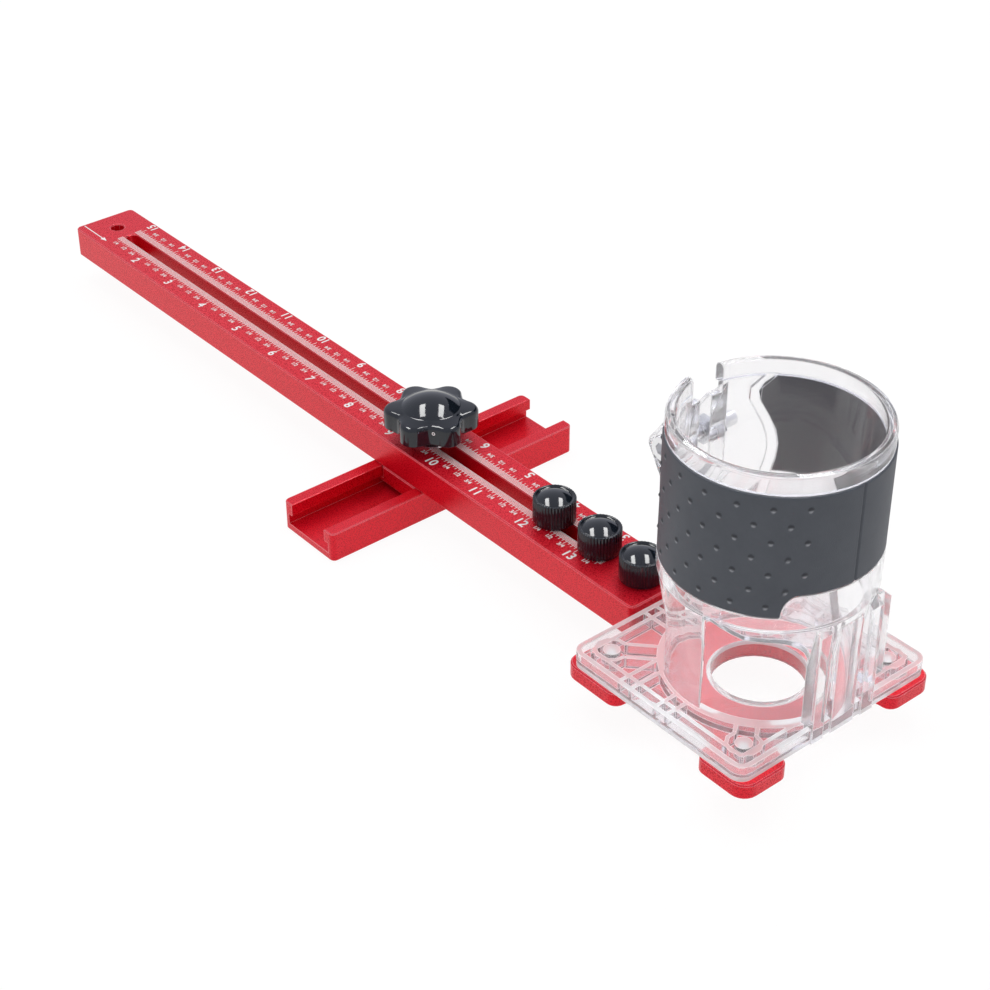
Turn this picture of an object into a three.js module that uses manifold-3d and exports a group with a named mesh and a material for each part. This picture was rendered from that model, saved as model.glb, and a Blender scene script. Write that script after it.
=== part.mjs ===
// Router circle cutting jig, in millimetres, with +Z up and +X running from the bar's free end to
// the router. A slotted ruler bar carries a cross rail clamped under it by a star knob, and three
// thumb screws hold the tongue of a red plate, which carries a clear base for a trim router.
// Inside the group, x = 0 is the bar's free end, y = 0 its centre line and z = 0 its underside.

import * as THREE from 'three';
import { mergeVertices } from 'three/addons/utils/BufferGeometryUtils.js';
import Module from 'manifold-3d';

const wasm = await Module();
wasm.setup();

// Shared clearances and cuts.
const SEAT_GAP = 0.1; // between a piece and what it rests on
const SLIP_GAP = 0.1; // round a shank that is fixed in its hole
const RUN_GAP = 0.4; // each side of a piece that slides
const OVERRUN = 1; // how far a cutter runs past the face it cuts
const EDGE_BREAK = 0.4; // small chamfer on the aluminium parts
const PROFILE_ROUND = 0.3; // rounding of the extruded rail's long edges

// Ruler bar.
const BAR_LENGTH = 358.5;
const BAR_WIDTH = 28.6;
const BAR_HEIGHT = 12.8;
const BAR_CORNER = 2.2;
const SLOT_WIDTH = 5.9;
const SLOT_START = 21.2; // from the free end
const SLOT_END_GAP = 27.5; // from the router end
const PIVOT_HOLE_PLACE = 11.6; // from the free end
const PIVOT_HOLE_DIAMETER = 6.2;

// Thumb screws that hold the router plate, placed from the bar's router end.
const THUMB_OUTER_PLACE = 10.9;
const THUMB_MIDDLE_PLACE = 31.8;
const THUMB_INNER_PLACE = 55.5;
const THUMB_PLACES = [THUMB_INNER_PLACE, THUMB_MIDDLE_PLACE, THUMB_OUTER_PLACE]
  .map((place) => BAR_LENGTH - place);
const THUMB_RADIUS = 7.75;
const THUMB_HEIGHT = 9.8;
const THUMB_RIBS = 20;
const THUMB_RIB_DEPTH = 0.35;
const THUMB_DOME_RADIUS = 6.3;
const THUMB_DOME_RISE = 1.9;
const THUMB_RIM_SINK = 0.7; // the dome starts this far under the knob's rim
const THUMB_STUD_RADIUS = 2.4;
const THUMB_STUD_GRIP = 6.5; // length of stud moulded into the knob
const THUMB_STUD_LIFT = 0.4; // the stud ends this far above the underside
const THUMB_WASHER_RADIUS = 5.2;
const THUMB_WASHER_THICKNESS = 1;

// Cross rail, an open channel with a groove under each lip.
const RAIL_LENGTH = 115;
const RAIL_WIDTH = 30.1;
const RAIL_HEIGHT = 11.9;
const RAIL_OPENING = 20;
const RAIL_GROOVE_WIDTH = 24.4;
const RAIL_LIP_HEIGHT = 4.8;
const RAIL_FLOOR = 2.8;
const RAIL_CORNER = 2;
const RAIL_SHIFT = 1.8; // the rail's middle lies this far behind the bar's centre line
const RAIL_SHARE = 0.6436; // the rail's place, as a share of the bar's length from the free end

// Slider in the rail, its bolt, and the star knob above the bar.
const SLIDER_LENGTH = 28.4;
const SLIDER_WING_THICKNESS = 2.2;
const SLIDER_TOP_GAP = 0.3; // under the bar
const BOLT_SHIFT = 2.7; // the bolt lies this far past the rail's middle, towards the router
const BOLT_RADIUS = 2.5;
const BOLT_HEAD_FLAT = 8; // across flats
const BOLT_HEAD_HEIGHT = 3.4;
const BOLT_REACH = 9.6; // length of bolt inside the knob
const KNOB_WASHER_RADIUS = 8;
const KNOB_WASHER_THICKNESS = 1;
const KNOB_RADIUS = 17.55; // over the lobes
const KNOB_LOBES = 6;
const KNOB_LOBE_DEPTH = 3.5;
const KNOB_TURN = 50.3; // the direction of the first lobe
const KNOB_HUB_RADIUS = 8.6;
const KNOB_HUB_HEIGHT = 4.2; // below the lobes
const KNOB_LOBE_HEIGHT = 8;
const KNOB_EDGE = 1.1;
const KNOB_DOME_RADIUS = 10.6;
const KNOB_DOME_RISE = 3.4;
const KNOB_DOME_STEP = 0.8; // the dome stands on a low slope
const INSERT_RADIUS = 4.5;
const INSERT_HEIGHT = 10;

// Router plate, placed from the axis of the router.
const PLATE_THICKNESS = 5.6;
const PLATE_LIP_NEAR = 1.2; // how far the plate reaches past the clear base, towards the bar
const PLATE_LIP_FAR = 2.3; // and away from the bar
const PLATE_LIP_SIDE = 0.7; // and at each side
const PLATE_EAR = 1.3; // how much nearer to the bar the plate's corners reach, beside the bar
const PLATE_EAR_FROM = 24; // the ears begin this far from the bar's centre line
const PLATE_EAR_TO = 27;
const PLATE_CORNER = 5.5;
const PLATE_CHAMFER = 0.5;
const PLATE_HOLE_RADIUS = 17.2;
const NOTCH_DEPTH = 12.5; // of the hollows between the lobes
const NOTCH_ROUND = 8;
const LOBE_ROUND = 4;
const NEAR_LOBE = 23.7; // length of the lobes along the sides, towards the bar
const FAR_LOBE = 21.8; // and away from the bar
const END_LOBE = 20.2; // width of the lobes along the far end
const TONGUE_LENGTH = 62;
const TONGUE_WIDTH = 19.6;
const TONGUE_GAP = 0.3; // each side, in the recess under the bar

// Clear router base, also placed from the axis of the router.
const BASE_LENGTH = 78;
const BASE_WIDTH = 85.4;
const AXIS_SHARE = 0.5641; // the router axis's place, as a share of the base's length from the bar's side
const BASE_GAP = 1.5; // from the bar's end to the sole
const BASE_CORNER = 4.5;
const BASE_SKIN = 1.8;
const BASE_HEIGHT = 5.8;
const BASE_WALL = 1.8;
const BASE_RIB = 1.4;
const SOLE_HOLE_RADIUS = 15.9;
const COLLAR_BOTTOM = 0.6; // height of the lower end of the sole's collar, in the plate's hole
const BOSS_END_INSET = 9; // from the sole's ends
const BOSS_SIDE_INSET = 9.9; // from the sole's sides
const BOSS_RADIUS = 2.9;
const BOSS_RING_RADIUS = 6.2;
const KEY_HALF = 3.4; // half the space between the two ribs that run from a boss
const INNER_RIB_INSET = 5; // from the sole's edges
const SIDE_RIB_FROM = -19; // the pairs of ribs along the long sides, from the axis
const SIDE_RIB_TO = -2.6;
const RIB_PAIR_HALF = 2.6; // half the space between the ribs of a pair
const BAR_RIB_SIDE = 8.5; // the rib pairs on the side facing the bar, from the bar's centre line

// Skirt and sleeve of the clear base: heights are above the bar's underside.
const SKIRT_RADIUS = 32.2;
const SKIRT_BORE = 29.6;
const SKIRT_TOP = 33;
const BEAD_BOTTOM = 50.5;
const FLARE_TOP = 54.8;
const BEAD_TOP = 55.3;
const STEP_TOP = 63.4; // top of the higher bead, on the guide side
const BEAD_RADIUS = 35.2;
const FLARE_RADIUS = 34.9; // of the skirt's top, just under the bead's face
const BORDER_RADIUS = 35; // of the raised border at the grip's curved ends
const SLEEVE_RADIUS = 33.4;
const SLEEVE_BORE = 31.4;
const LEDGE_HEIGHT = 48; // the motor body stops here
const RIM_BOTTOM = 99.2;
const RIM_TOP = 105.8;
const RIM_RADIUS = 34.7;
const RIM_ROUND = 1.5;
const SIDE_WINDOW_ANGLE = 52; // either side of the guide block
const SIDE_WINDOW_HALF = 15.9;
const SIDE_WINDOW_TOP = 45.3;
const SIDE_WINDOW_PEAK = 49.8; // at the side towards the bar
const SIDE_WINDOW_SLOPE = 12; // length of the slope up to the peak
const BAR_SIDE_ANGLE = 180;
const BAR_WINDOW_HALF = 28;
const BAR_WINDOW_TOP = 46;
const WINDOW_ROUND = 10;
const PEAK_ROUND = 1.5;
const FOOT_RADIUS = 33.4; // of the low ring round the skirt's foot

// Guide block for an edge guide, on the side away from the bar.
const GUIDE_REACH = 34.6;
const GUIDE_LEFT = 12.4;
const GUIDE_RIGHT = 15.5;
const GUIDE_TOP = 47;
const GUIDE_SLOPE = 4.5; // rise of the block's top towards the skirt
const GUIDE_GROOVE_LEFT = 5.6; // the grooves' middles, from the bar's centre line
const GUIDE_GROOVE_RIGHT = 8.2;
const GUIDE_GROOVE_WIDTH = 3.4;
const GUIDE_GROOVE_DEPTH = 3.2;
const WING_REACH = 31.5;
const WING_SIDE = 22.5;
const WING_THICKNESS = 2.4;
const WING_BOTTOM = 15;
const WING_TOP = 49;
const WING_CHAMFER = 4;

// Clamp of the split sleeve, on the side facing the bar.
const SPLIT_WIDTH = 5;
const SPLIT_BOTTOM = 58;
const MOUTH_WIDTH = 13;
const MOUTH_BOTTOM = 96;
const CLAMP_REACH = 39.4; // the screw's axis, from the router axis
const CLAMP_HEIGHT = 77.4;
const EAR_OUTER = 9.6; // from the middle of the split to an ear's outer face
const EAR_REACH = 46.6; // the ear's tip, from the router axis
const EAR_ROUND = 3.5;
const EAR_TOP = 99;
const EAR_BOTTOM = 52;
const CLAMP_SCREW_RADIUS = 2.5;
const CLAMP_SCREW_END = 20.5; // how far the thread reaches past the split
const CLAMP_HEAD_RADIUS = 4.1;
const CLAMP_HEAD_HEIGHT = 4.4;
const CLAMP_SOCKET_FLAT = 4;
const CLAMP_SOCKET_DEPTH = 2.6;
const CLAMP_POCKET_DEPTH = 4.4;
const CLAMP_WASHER_THICKNESS = 0.8;
const CLAMP_NUT_FLAT = 8;
const CLAMP_NUT_THICKNESS = 4;

// Rubber grip round the sleeve.
const GRIP_RADIUS = 35.1;
const GRIP_TOP = 98.9;
const GRIP_GAP = 0.15; // above the bead and beside the borders
const GRIP_FIT = 0.3; // between rubber and sleeve
const STEP_FROM_ANGLE = -41.3; // where the lower edge begins to climb to the higher bead
const STEP_TO_ANGLE = -32.3;
const STEP_SHARES = [1 / 3, 1 / 2]; // the grip's columns that turn round the step
const GRIP_ANGLE_STEPS = 48;
const GRIP_HEIGHT_STEPS = 8;
const GRIP_EDGE_RIB = 3.4; // width of the raised clear border along the grip's curved ends
// The grip's end as an angle from the guide side, at shares of the way up from the higher bead.
const GRIP_END_ANGLES = [134.5, 132.6, 131.6, 133.4, 137.9, 142.8, 144.4, 141.5, 135.4];
const GRIP_END_SHARES = [0, 0.12, 0.28, 0.43, 0.59, 0.72, 0.83, 0.92, 1];

// Screws from below that join plate and clear base.
const PLATE_SCREW_RADIUS = 1.6;
const PLATE_SCREW_LENGTH = 9.2;
const PLATE_SCREW_HEAD_RADIUS = 3.5;
const PLATE_SCREW_SINK = 0.2; // the head's face under the plate's underside

// Facets of the round shapes.
const ROUND_STEPS = 36;
const SMALL_STEPS = 20;
const TOWER_STEPS = 56;
const CORNER_STEPS = 3;
const DOME_STEPS = 4;
const RIM_STEPS = 4;

// Places and heights that follow from the sizes above.
const BASE_NEAR = -BASE_LENGTH * AXIS_SHARE;
const BASE_FAR = BASE_NEAR + BASE_LENGTH;
const ROUTER_AXIS = BAR_LENGTH + BASE_GAP - BASE_NEAR;
const RAIL_PLACE = BAR_LENGTH * RAIL_SHARE;
const BOLT_PLACE = RAIL_PLACE + BOLT_SHIFT;
const PLATE_NEAR = BASE_NEAR - PLATE_LIP_NEAR;
const PLATE_FAR = BASE_FAR + PLATE_LIP_FAR;
const BASE_CENTRE = (BASE_NEAR + BASE_FAR) / 2;
const BASE_BOTTOM = PLATE_THICKNESS + SEAT_GAP;
const BASE_FLOOR = BASE_BOTTOM + BASE_SKIN;
const BASE_TOP = BASE_BOTTOM + BASE_HEIGHT;
const RAIL_TOP = -SEAT_GAP;
const RAIL_BOTTOM = RAIL_TOP - RAIL_HEIGHT;
const RAIL_LIP_BOTTOM = RAIL_TOP - RAIL_LIP_HEIGHT;
const WING_TOP_HEIGHT = RAIL_LIP_BOTTOM - SEAT_GAP;
const SLIDER_BOTTOM = WING_TOP_HEIGHT - SLIDER_WING_THICKNESS;
const KNOB_WASHER_BOTTOM = BAR_HEIGHT + SEAT_GAP;
const KNOB_BOTTOM = KNOB_WASHER_BOTTOM + KNOB_WASHER_THICKNESS + SEAT_GAP;
const LOBE_BOTTOM = KNOB_BOTTOM + KNOB_HUB_HEIGHT;
const LOBE_TOP = LOBE_BOTTOM + KNOB_LOBE_HEIGHT;
const THUMB_BOTTOM = BAR_HEIGHT + SEAT_GAP;
const GRIP_INNER_RADIUS = SLEEVE_RADIUS + GRIP_FIT;
const CLAMP_SEAT = CLAMP_POCKET_DEPTH - EAR_OUTER; // where the washer under the screw's head rests

const RED = { color: 0xc8232b, roughness: 0.42, metalness: 0.55 };
const BLACK = { color: 0x2b2d31, roughness: 0.3, metalness: 0 };
const RUBBER = { color: 0x4a4d54, roughness: 0.75, metalness: 0 };
const CLEAR = { color: 0xe9edf0, roughness: 0.08, metalness: 0, transparent: true, opacity: 0.35 };
const STEEL = { color: 0xb9bcc0, roughness: 0.3, metalness: 1 };
const BRASS = { color: 0xb8934a, roughness: 0.35, metalness: 1 };

const radians = THREE.MathUtils.degToRad;

// A closed geometry as a solid that can be cut and joined.
function solid(geometry) {
  const bare = geometry.clone();
  bare.deleteAttribute('normal');
  bare.deleteAttribute('uv');
  const welded = mergeVertices(bare);
  return new wasm.Manifold(new wasm.Mesh({
    numProp: 3,
    vertProperties: new Float32Array(welded.attributes.position.array),
    triVerts: new Uint32Array(welded.index.array),
  }));
}

function geometryOf(body) {
  const { vertProperties, triVerts } = body.getMesh();
  const geometry = new THREE.BufferGeometry();
  geometry.setAttribute('position', new THREE.BufferAttribute(new Float32Array(vertProperties), 3));
  geometry.setIndex(new THREE.BufferAttribute(new Uint32Array(triVerts), 1));
  geometry.computeVertexNormals();
  return geometry;
}

// A shape from corners [x, y, radius], with an arc of that radius at each rounded corner.
function outline(corners) {
  const shape = new THREE.Shape();
  const points = corners.map(([x, y]) => new THREE.Vector2(x, y));
  corners.forEach(([x, y, radius], i) => {
    const here = points[i];
    if (!radius) {
      if (i === 0) shape.moveTo(x, y);
      else shape.lineTo(x, y);
      return;
    }
    const back = points.at(i - 1).clone().sub(here).normalize();
    const on = points[(i + 1) % points.length].clone().sub(here).normalize();
    const half = Math.acos(back.dot(on)) / 2;
    const centre = back.clone().add(on).normalize().multiplyScalar(radius / Math.sin(half)).add(here);
    const from = back.clone().multiplyScalar(radius / Math.tan(half)).add(here).sub(centre);
    const to = on.clone().multiplyScalar(radius / Math.tan(half)).add(here).sub(centre);
    const clockwise = back.cross(on) > 0;
    const start = from.clone().add(centre);
    if (i === 0) shape.moveTo(start.x, start.y);
    else shape.lineTo(start.x, start.y);
    shape.absarc(centre.x, centre.y, radius, from.angle(), to.angle(), clockwise);
  });
  shape.closePath();
  return shape;
}

function roundedRectangle(fromX, fromY, toX, toY, radius) {
  return outline([[fromX, fromY, radius], [toX, fromY, radius], [toX, toY, radius], [fromX, toY, radius]]);
}

// A flat piece of a shape between two heights, with its edges chamfered where asked.
function slab(shape, bottom, top, chamfer = 0, steps = CORNER_STEPS) {
  const geometry = new THREE.ExtrudeGeometry(shape, {
    depth: top - bottom - 2 * chamfer,
    bevelEnabled: chamfer > 0,
    bevelThickness: chamfer,
    bevelSize: chamfer,
    bevelOffset: -chamfer,
    bevelSegments: 1,
    curveSegments: steps,
  });
  return geometry.translate(0, 0, bottom + chamfer);
}

function block(fromX, toX, fromY, toY, bottom, top) {
  const box = new THREE.BoxGeometry(toX - fromX, toY - fromY, top - bottom);
  return box.translate((fromX + toX) / 2, (fromY + toY) / 2, (bottom + top) / 2);
}

// An upright cylinder with a given number of sides.
function post(x, y, radius, bottom, top, steps = ROUND_STEPS) {
  const cylinder = new THREE.CylinderGeometry(radius, radius, top - bottom, steps);
  return cylinder.rotateX(Math.PI / 2).translate(x, y, (bottom + top) / 2);
}

// A turned piece from a profile of [radius, height] about the Z axis.
function turned(profile, steps = SMALL_STEPS) {
  const points = profile.map(([radius, height]) => new THREE.Vector2(radius, height));
  return new THREE.LatheGeometry(points, steps).rotateX(Math.PI / 2);
}

// A shape drawn across Y, with its X as world X and its Y as world Z, run from one y to another.
function across(shape, fromY, toY, chamfer = 0) {
  return slab(shape, -toY, -fromY, chamfer).rotateX(Math.PI / 2);
}

// A hexagon with a given width across its flats.
function hexagon(flat) {
  const corners = [];
  for (let i = 0; i < 6; i += 1) {
    const angle = (i * Math.PI) / 3;
    const radius = flat / Math.sqrt(3);
    corners.push([radius * Math.cos(angle), radius * Math.sin(angle), 0]);
  }
  return outline(corners);
}

function slotHole(fromX, toX, width) {
  const half = width / 2;
  const hole = new THREE.Path();
  hole.absarc(toX - half, 0, half, -Math.PI / 2, Math.PI / 2, false);
  hole.absarc(fromX + half, 0, half, Math.PI / 2, (3 * Math.PI) / 2, false);
  hole.closePath();
  return hole;
}

function roundHole(x, radius) {
  return new THREE.Path().absarc(x, 0, radius, 0, 2 * Math.PI, false);
}

function rulerBar() {
  const half = BAR_WIDTH / 2;
  const shape = roundedRectangle(0, -half, BAR_LENGTH, half, BAR_CORNER);
  shape.holes.push(slotHole(SLOT_START, BAR_LENGTH - SLOT_END_GAP, SLOT_WIDTH));
  shape.holes.push(roundHole(PIVOT_HOLE_PLACE, PIVOT_HOLE_DIAMETER / 2));
  shape.holes.push(roundHole(THUMB_PLACES.at(-1), SLOT_WIDTH / 2));
  const bar = solid(slab(shape, 0, BAR_HEIGHT, EDGE_BREAK, DOME_STEPS));
  const recessHalf = TONGUE_WIDTH / 2 + TONGUE_GAP;
  const recessFrom = BAR_LENGTH - TONGUE_LENGTH - TONGUE_GAP;
  const recess = block(recessFrom, BAR_LENGTH + OVERRUN, -recessHalf, recessHalf, -OVERRUN,
    PLATE_THICKNESS + SEAT_GAP);
  return geometryOf(bar.subtract(solid(recess)));
}

function plateOutline() {
  const side = BASE_WIDTH / 2 + PLATE_LIP_SIDE;
  const hollow = side - NOTCH_DEPTH;
  const from = PLATE_NEAR + NEAR_LOBE;
  const to = PLATE_FAR - FAR_LOBE;
  const endSide = side - END_LOBE;
  const half = [
    [PLATE_NEAR, -PLATE_EAR_FROM, 0],
    [PLATE_NEAR - PLATE_EAR, -PLATE_EAR_TO, 0],
    [PLATE_NEAR - PLATE_EAR, -side, PLATE_CORNER],
    [from, -side, LOBE_ROUND],
    [from, -hollow, NOTCH_ROUND],
    [to, -hollow, NOTCH_ROUND],
    [to, -side, LOBE_ROUND],
    [PLATE_FAR, -side, PLATE_CORNER],
    [PLATE_FAR, -endSide, LOBE_ROUND],
    [PLATE_FAR - NOTCH_DEPTH, -endSide, NOTCH_ROUND],
  ];
  const mirrored = half.map(([x, y, radius]) => [x, -y, radius]).reverse();
  return outline([...half, ...mirrored]);
}

function bossPlaces() {
  const places = [];
  for (const alongX of [-1, 1]) {
    for (const alongY of [-1, 1]) {
      places.push([
        BASE_CENTRE + alongX * (BASE_LENGTH / 2 - BOSS_END_INSET),
        alongY * (BASE_WIDTH / 2 - BOSS_SIDE_INSET),
      ]);
    }
  }
  return places;
}

// A countersunk screw's profile, point up, with its head's face at z = 0.
function screwProfile(grow) {
  const shank = PLATE_SCREW_RADIUS + grow;
  const head = PLATE_SCREW_HEAD_RADIUS + grow;
  const length = PLATE_SCREW_LENGTH + grow;
  return [[0, 0], [head, 0], [shank, head - shank], [shank, length], [0, length]];
}

function routerPlate() {
  let plate = solid(slab(plateOutline(), 0, PLATE_THICKNESS, PLATE_CHAMFER));
  plate = plate.subtract(solid(post(0, 0, PLATE_HOLE_RADIUS, -OVERRUN, PLATE_THICKNESS + OVERRUN)));
  const tongueHalf = TONGUE_WIDTH / 2;
  const tongueStart = BAR_LENGTH - ROUTER_AXIS - TONGUE_LENGTH;
  const tongueEnd = PLATE_NEAR + PLATE_CORNER;
  const tongueShape = roundedRectangle(tongueStart, -tongueHalf, tongueEnd, tongueHalf, LOBE_ROUND);
  plate = plate.add(solid(slab(tongueShape, 0, PLATE_THICKNESS)));
  for (const place of THUMB_PLACES) {
    plate = plate.subtract(solid(post(place - ROUTER_AXIS, 0, THUMB_STUD_RADIUS + SLIP_GAP, -OVERRUN,
      PLATE_THICKNESS + OVERRUN)));
  }
  for (const [x, y] of bossPlaces()) {
    const hole = turned(screwProfile(SLIP_GAP)).translate(x, y, PLATE_SCREW_SINK - SLIP_GAP);
    const mouth = post(x, y, PLATE_SCREW_HEAD_RADIUS + SLIP_GAP, -OVERRUN, PLATE_SCREW_SINK, SMALL_STEPS);
    plate = plate.subtract(solid(hole)).subtract(solid(mouth));
  }
  return geometryOf(plate);
}

// The shell of skirt, bead, sleeve and rim as one turned profile.
function towerProfile() {
  const rim = [];
  for (let i = 0; i <= RIM_STEPS; i += 1) {
    const angle = (i / RIM_STEPS) * Math.PI;
    const middle = (RIM_RADIUS + SLEEVE_BORE) / 2;
    const reach = (RIM_RADIUS - SLEEVE_BORE) / 2;
    rim.push([middle + reach * Math.cos(angle), RIM_TOP - RIM_ROUND + RIM_ROUND * Math.sin(angle)]);
  }
  const outer = [
    [SKIRT_RADIUS, BASE_BOTTOM], [SKIRT_RADIUS, SKIRT_TOP], [FLARE_RADIUS, BEAD_BOTTOM],
    [FLARE_RADIUS, FLARE_TOP], [SLEEVE_RADIUS, FLARE_TOP], [SLEEVE_RADIUS, RIM_BOTTOM],
    [RIM_RADIUS, RIM_BOTTOM],
  ];
  const inner = [
    [SLEEVE_BORE, LEDGE_HEIGHT], [SKIRT_BORE, LEDGE_HEIGHT], [SKIRT_BORE, BASE_BOTTOM],
    [SKIRT_RADIUS, BASE_BOTTOM],
  ];
  return [...outer, ...rim, ...inner];
}

// A stretch of a ring between two angles, as a flat shape.
function ringSector(innerRadius, outerRadius, fromAngle, toAngle) {
  const shape = new THREE.Shape();
  shape.absarc(0, 0, outerRadius, radians(fromAngle), radians(toAngle), false);
  shape.absarc(0, 0, innerRadius, radians(toAngle), radians(fromAngle), true);
  shape.closePath();
  return shape;
}

// The angle of the grip's curved end at a height.
function gripEndAngle(height) {
  const share = THREE.MathUtils.clamp((height - STEP_TOP) / (GRIP_TOP - STEP_TOP), 0, 1);
  const i = Math.max(1, GRIP_END_SHARES.findIndex((value) => value >= share));
  const part = (share - GRIP_END_SHARES[i - 1]) / (GRIP_END_SHARES[i] - GRIP_END_SHARES[i - 1]);
  return THREE.MathUtils.lerp(GRIP_END_ANGLES[i - 1], GRIP_END_ANGLES[i], part);
}

// The top of the bead under the grip at an angle: low at the left, high over the guide block.
function beadTop(angle) {
  const part = (angle - STEP_FROM_ANGLE) / (STEP_TO_ANGLE - STEP_FROM_ANGLE);
  const left = 1 - THREE.MathUtils.clamp(part, 0, 1);
  return THREE.MathUtils.lerp(BEAD_TOP, STEP_TOP, Math.sqrt(1 - left ** 2));
}

// The angle of a column between the grip's two ends. Columns stand close where the edge climbs.
function columnAngle(share, from, to) {
  const [before, after] = STEP_SHARES;
  if (share < before) {
    return THREE.MathUtils.lerp(from, STEP_FROM_ANGLE, share / before);
  }
  if (share > after) {
    return THREE.MathUtils.lerp(STEP_TO_ANGLE, to, (share - after) / (1 - after));
  }
  const turn = ((share - before) / (after - before)) * (Math.PI / 2);
  return THREE.MathUtils.lerp(STEP_FROM_ANGLE, STEP_TO_ANGLE, 1 - Math.cos(turn));
}

// A curved wall on the sleeve between two radii. Each point's angle and height come from shares.
function curvedWall(innerRadius, outerRadius, angleSteps, heightSteps, placeAt) {
  const positions = [];
  const faces = [];
  const row = angleSteps + 1;
  for (const radius of [innerRadius, outerRadius]) {
    for (let j = 0; j <= heightSteps; j += 1) {
      for (let i = 0; i <= angleSteps; i += 1) {
        const { angle, height } = placeAt(i / angleSteps, j / heightSteps);
        positions.push(radius * Math.cos(radians(angle)), radius * Math.sin(radians(angle)), height);
      }
    }
  }
  const layer = row * (heightSteps + 1);
  const quad = (a, b, c, d) => faces.push(a, b, c, a, c, d);
  for (let j = 0; j < heightSteps; j += 1) {
    for (let i = 0; i < angleSteps; i += 1) {
      const at = j * row + i;
      quad(at, at + row, at + row + 1, at + 1);
      quad(layer + at, layer + at + 1, layer + at + row + 1, layer + at + row);
    }
    const left = j * row;
    const right = left + angleSteps;
    quad(left, layer + left, layer + left + row, left + row);
    quad(right, right + row, layer + right + row, layer + right);
  }
  for (let i = 0; i < angleSteps; i += 1) {
    const top = heightSteps * row + i;
    quad(i, i + 1, layer + i + 1, layer + i);
    quad(top, layer + top, layer + top + 1, top + 1);
  }
  const geometry = new THREE.BufferGeometry();
  geometry.setAttribute('position', new THREE.BufferAttribute(new Float32Array(positions), 3));
  geometry.setIndex(faces);
  geometry.computeVertexNormals();
  return geometry;
}

function gripSleeve() {
  return curvedWall(GRIP_INNER_RADIUS, GRIP_RADIUS, GRIP_ANGLE_STEPS, GRIP_HEIGHT_STEPS, (share, rise) => {
    const from = -gripEndAngle(THREE.MathUtils.lerp(BEAD_TOP, GRIP_TOP, rise));
    const to = gripEndAngle(THREE.MathUtils.lerp(STEP_TOP, GRIP_TOP, rise));
    const angle = columnAngle(share, from, to);
    return { angle, height: THREE.MathUtils.lerp(beadTop(angle) + GRIP_GAP, GRIP_TOP, rise) };
  });
}

// The bead's top, which follows the grip's lower edge.
function gripBead() {
  const end = gripEndAngle(STEP_TOP);
  return curvedWall(SLEEVE_RADIUS - GRIP_GAP, BEAD_RADIUS, GRIP_ANGLE_STEPS, 1, (share, rise) => {
    const angle = columnAngle(share, -end, end);
    return { angle, height: THREE.MathUtils.lerp(BEAD_BOTTOM, beadTop(angle), rise) };
  });
}

// The raised clear border just outside one curved end of the grip.
function gripBorder(side) {
  const width = THREE.MathUtils.radToDeg(GRIP_EDGE_RIB / SLEEVE_RADIUS);
  const gap = THREE.MathUtils.radToDeg(GRIP_GAP / SLEEVE_RADIUS);
  const lowest = side > 0 ? STEP_TOP : BEAD_TOP;
  const levels = [BEAD_BOTTOM];
  for (let i = 0; i <= GRIP_HEIGHT_STEPS; i += 1) {
    levels.push(THREE.MathUtils.lerp(lowest, GRIP_TOP, i / GRIP_HEIGHT_STEPS));
  }
  levels.push(RIM_BOTTOM + GRIP_GAP);
  const steps = levels.length - 1;
  return curvedWall(SLEEVE_RADIUS - GRIP_GAP, BORDER_RADIUS, 1, steps, (share, rise) => {
    const height = levels[Math.round(rise * steps)];
    const near = gripEndAngle(height) + (rise > 0 ? gap : -gap);
    return { angle: side > 0 ? near + share * width : (share - 1) * width - near, height };
  });
}

// A cutter for one window of the skirt, seen from outside as an outline of [along, height, radius].
function windowCutter(angle, corners) {
  const cutter = across(outline(corners), SLEEVE_BORE / 2, BEAD_RADIUS + OVERRUN);
  return cutter.rotateZ(radians(angle) - Math.PI / 2);
}

// A side window slopes up to a peak towards the bar; the side tells which way that is.
function sideWindow(side) {
  const half = SIDE_WINDOW_HALF;
  const corners = [
    [half, BASE_TOP, 0], [half, SIDE_WINDOW_PEAK, PEAK_ROUND],
    [half - SIDE_WINDOW_SLOPE, SIDE_WINDOW_TOP, 0], [-half, SIDE_WINDOW_TOP, WINDOW_ROUND],
    [-half, BASE_TOP, 0],
  ].map(([along, height, radius]) => [-side * along, height, radius]);
  return windowCutter(side * SIDE_WINDOW_ANGLE, side > 0 ? corners : corners.reverse());
}

function barWindow() {
  const half = BAR_WINDOW_HALF;
  return windowCutter(BAR_SIDE_ANGLE, [
    [-half, BASE_TOP, 0], [half, BASE_TOP, 0], [half, BAR_WINDOW_TOP, WINDOW_ROUND],
    [-half, BAR_WINDOW_TOP, WINDOW_ROUND],
  ]);
}

// A straight upright rib on the sole between two points.
function soleRib(fromX, fromY, toX, toY) {
  const length = Math.hypot(toX - fromX, toY - fromY);
  const rib = block(0, length, -BASE_RIB / 2, BASE_RIB / 2, BASE_FLOOR - SEAT_GAP, BASE_TOP);
  return rib.rotateZ(Math.atan2(toY - fromY, toX - fromX)).translate(fromX, fromY, 0);
}

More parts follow.
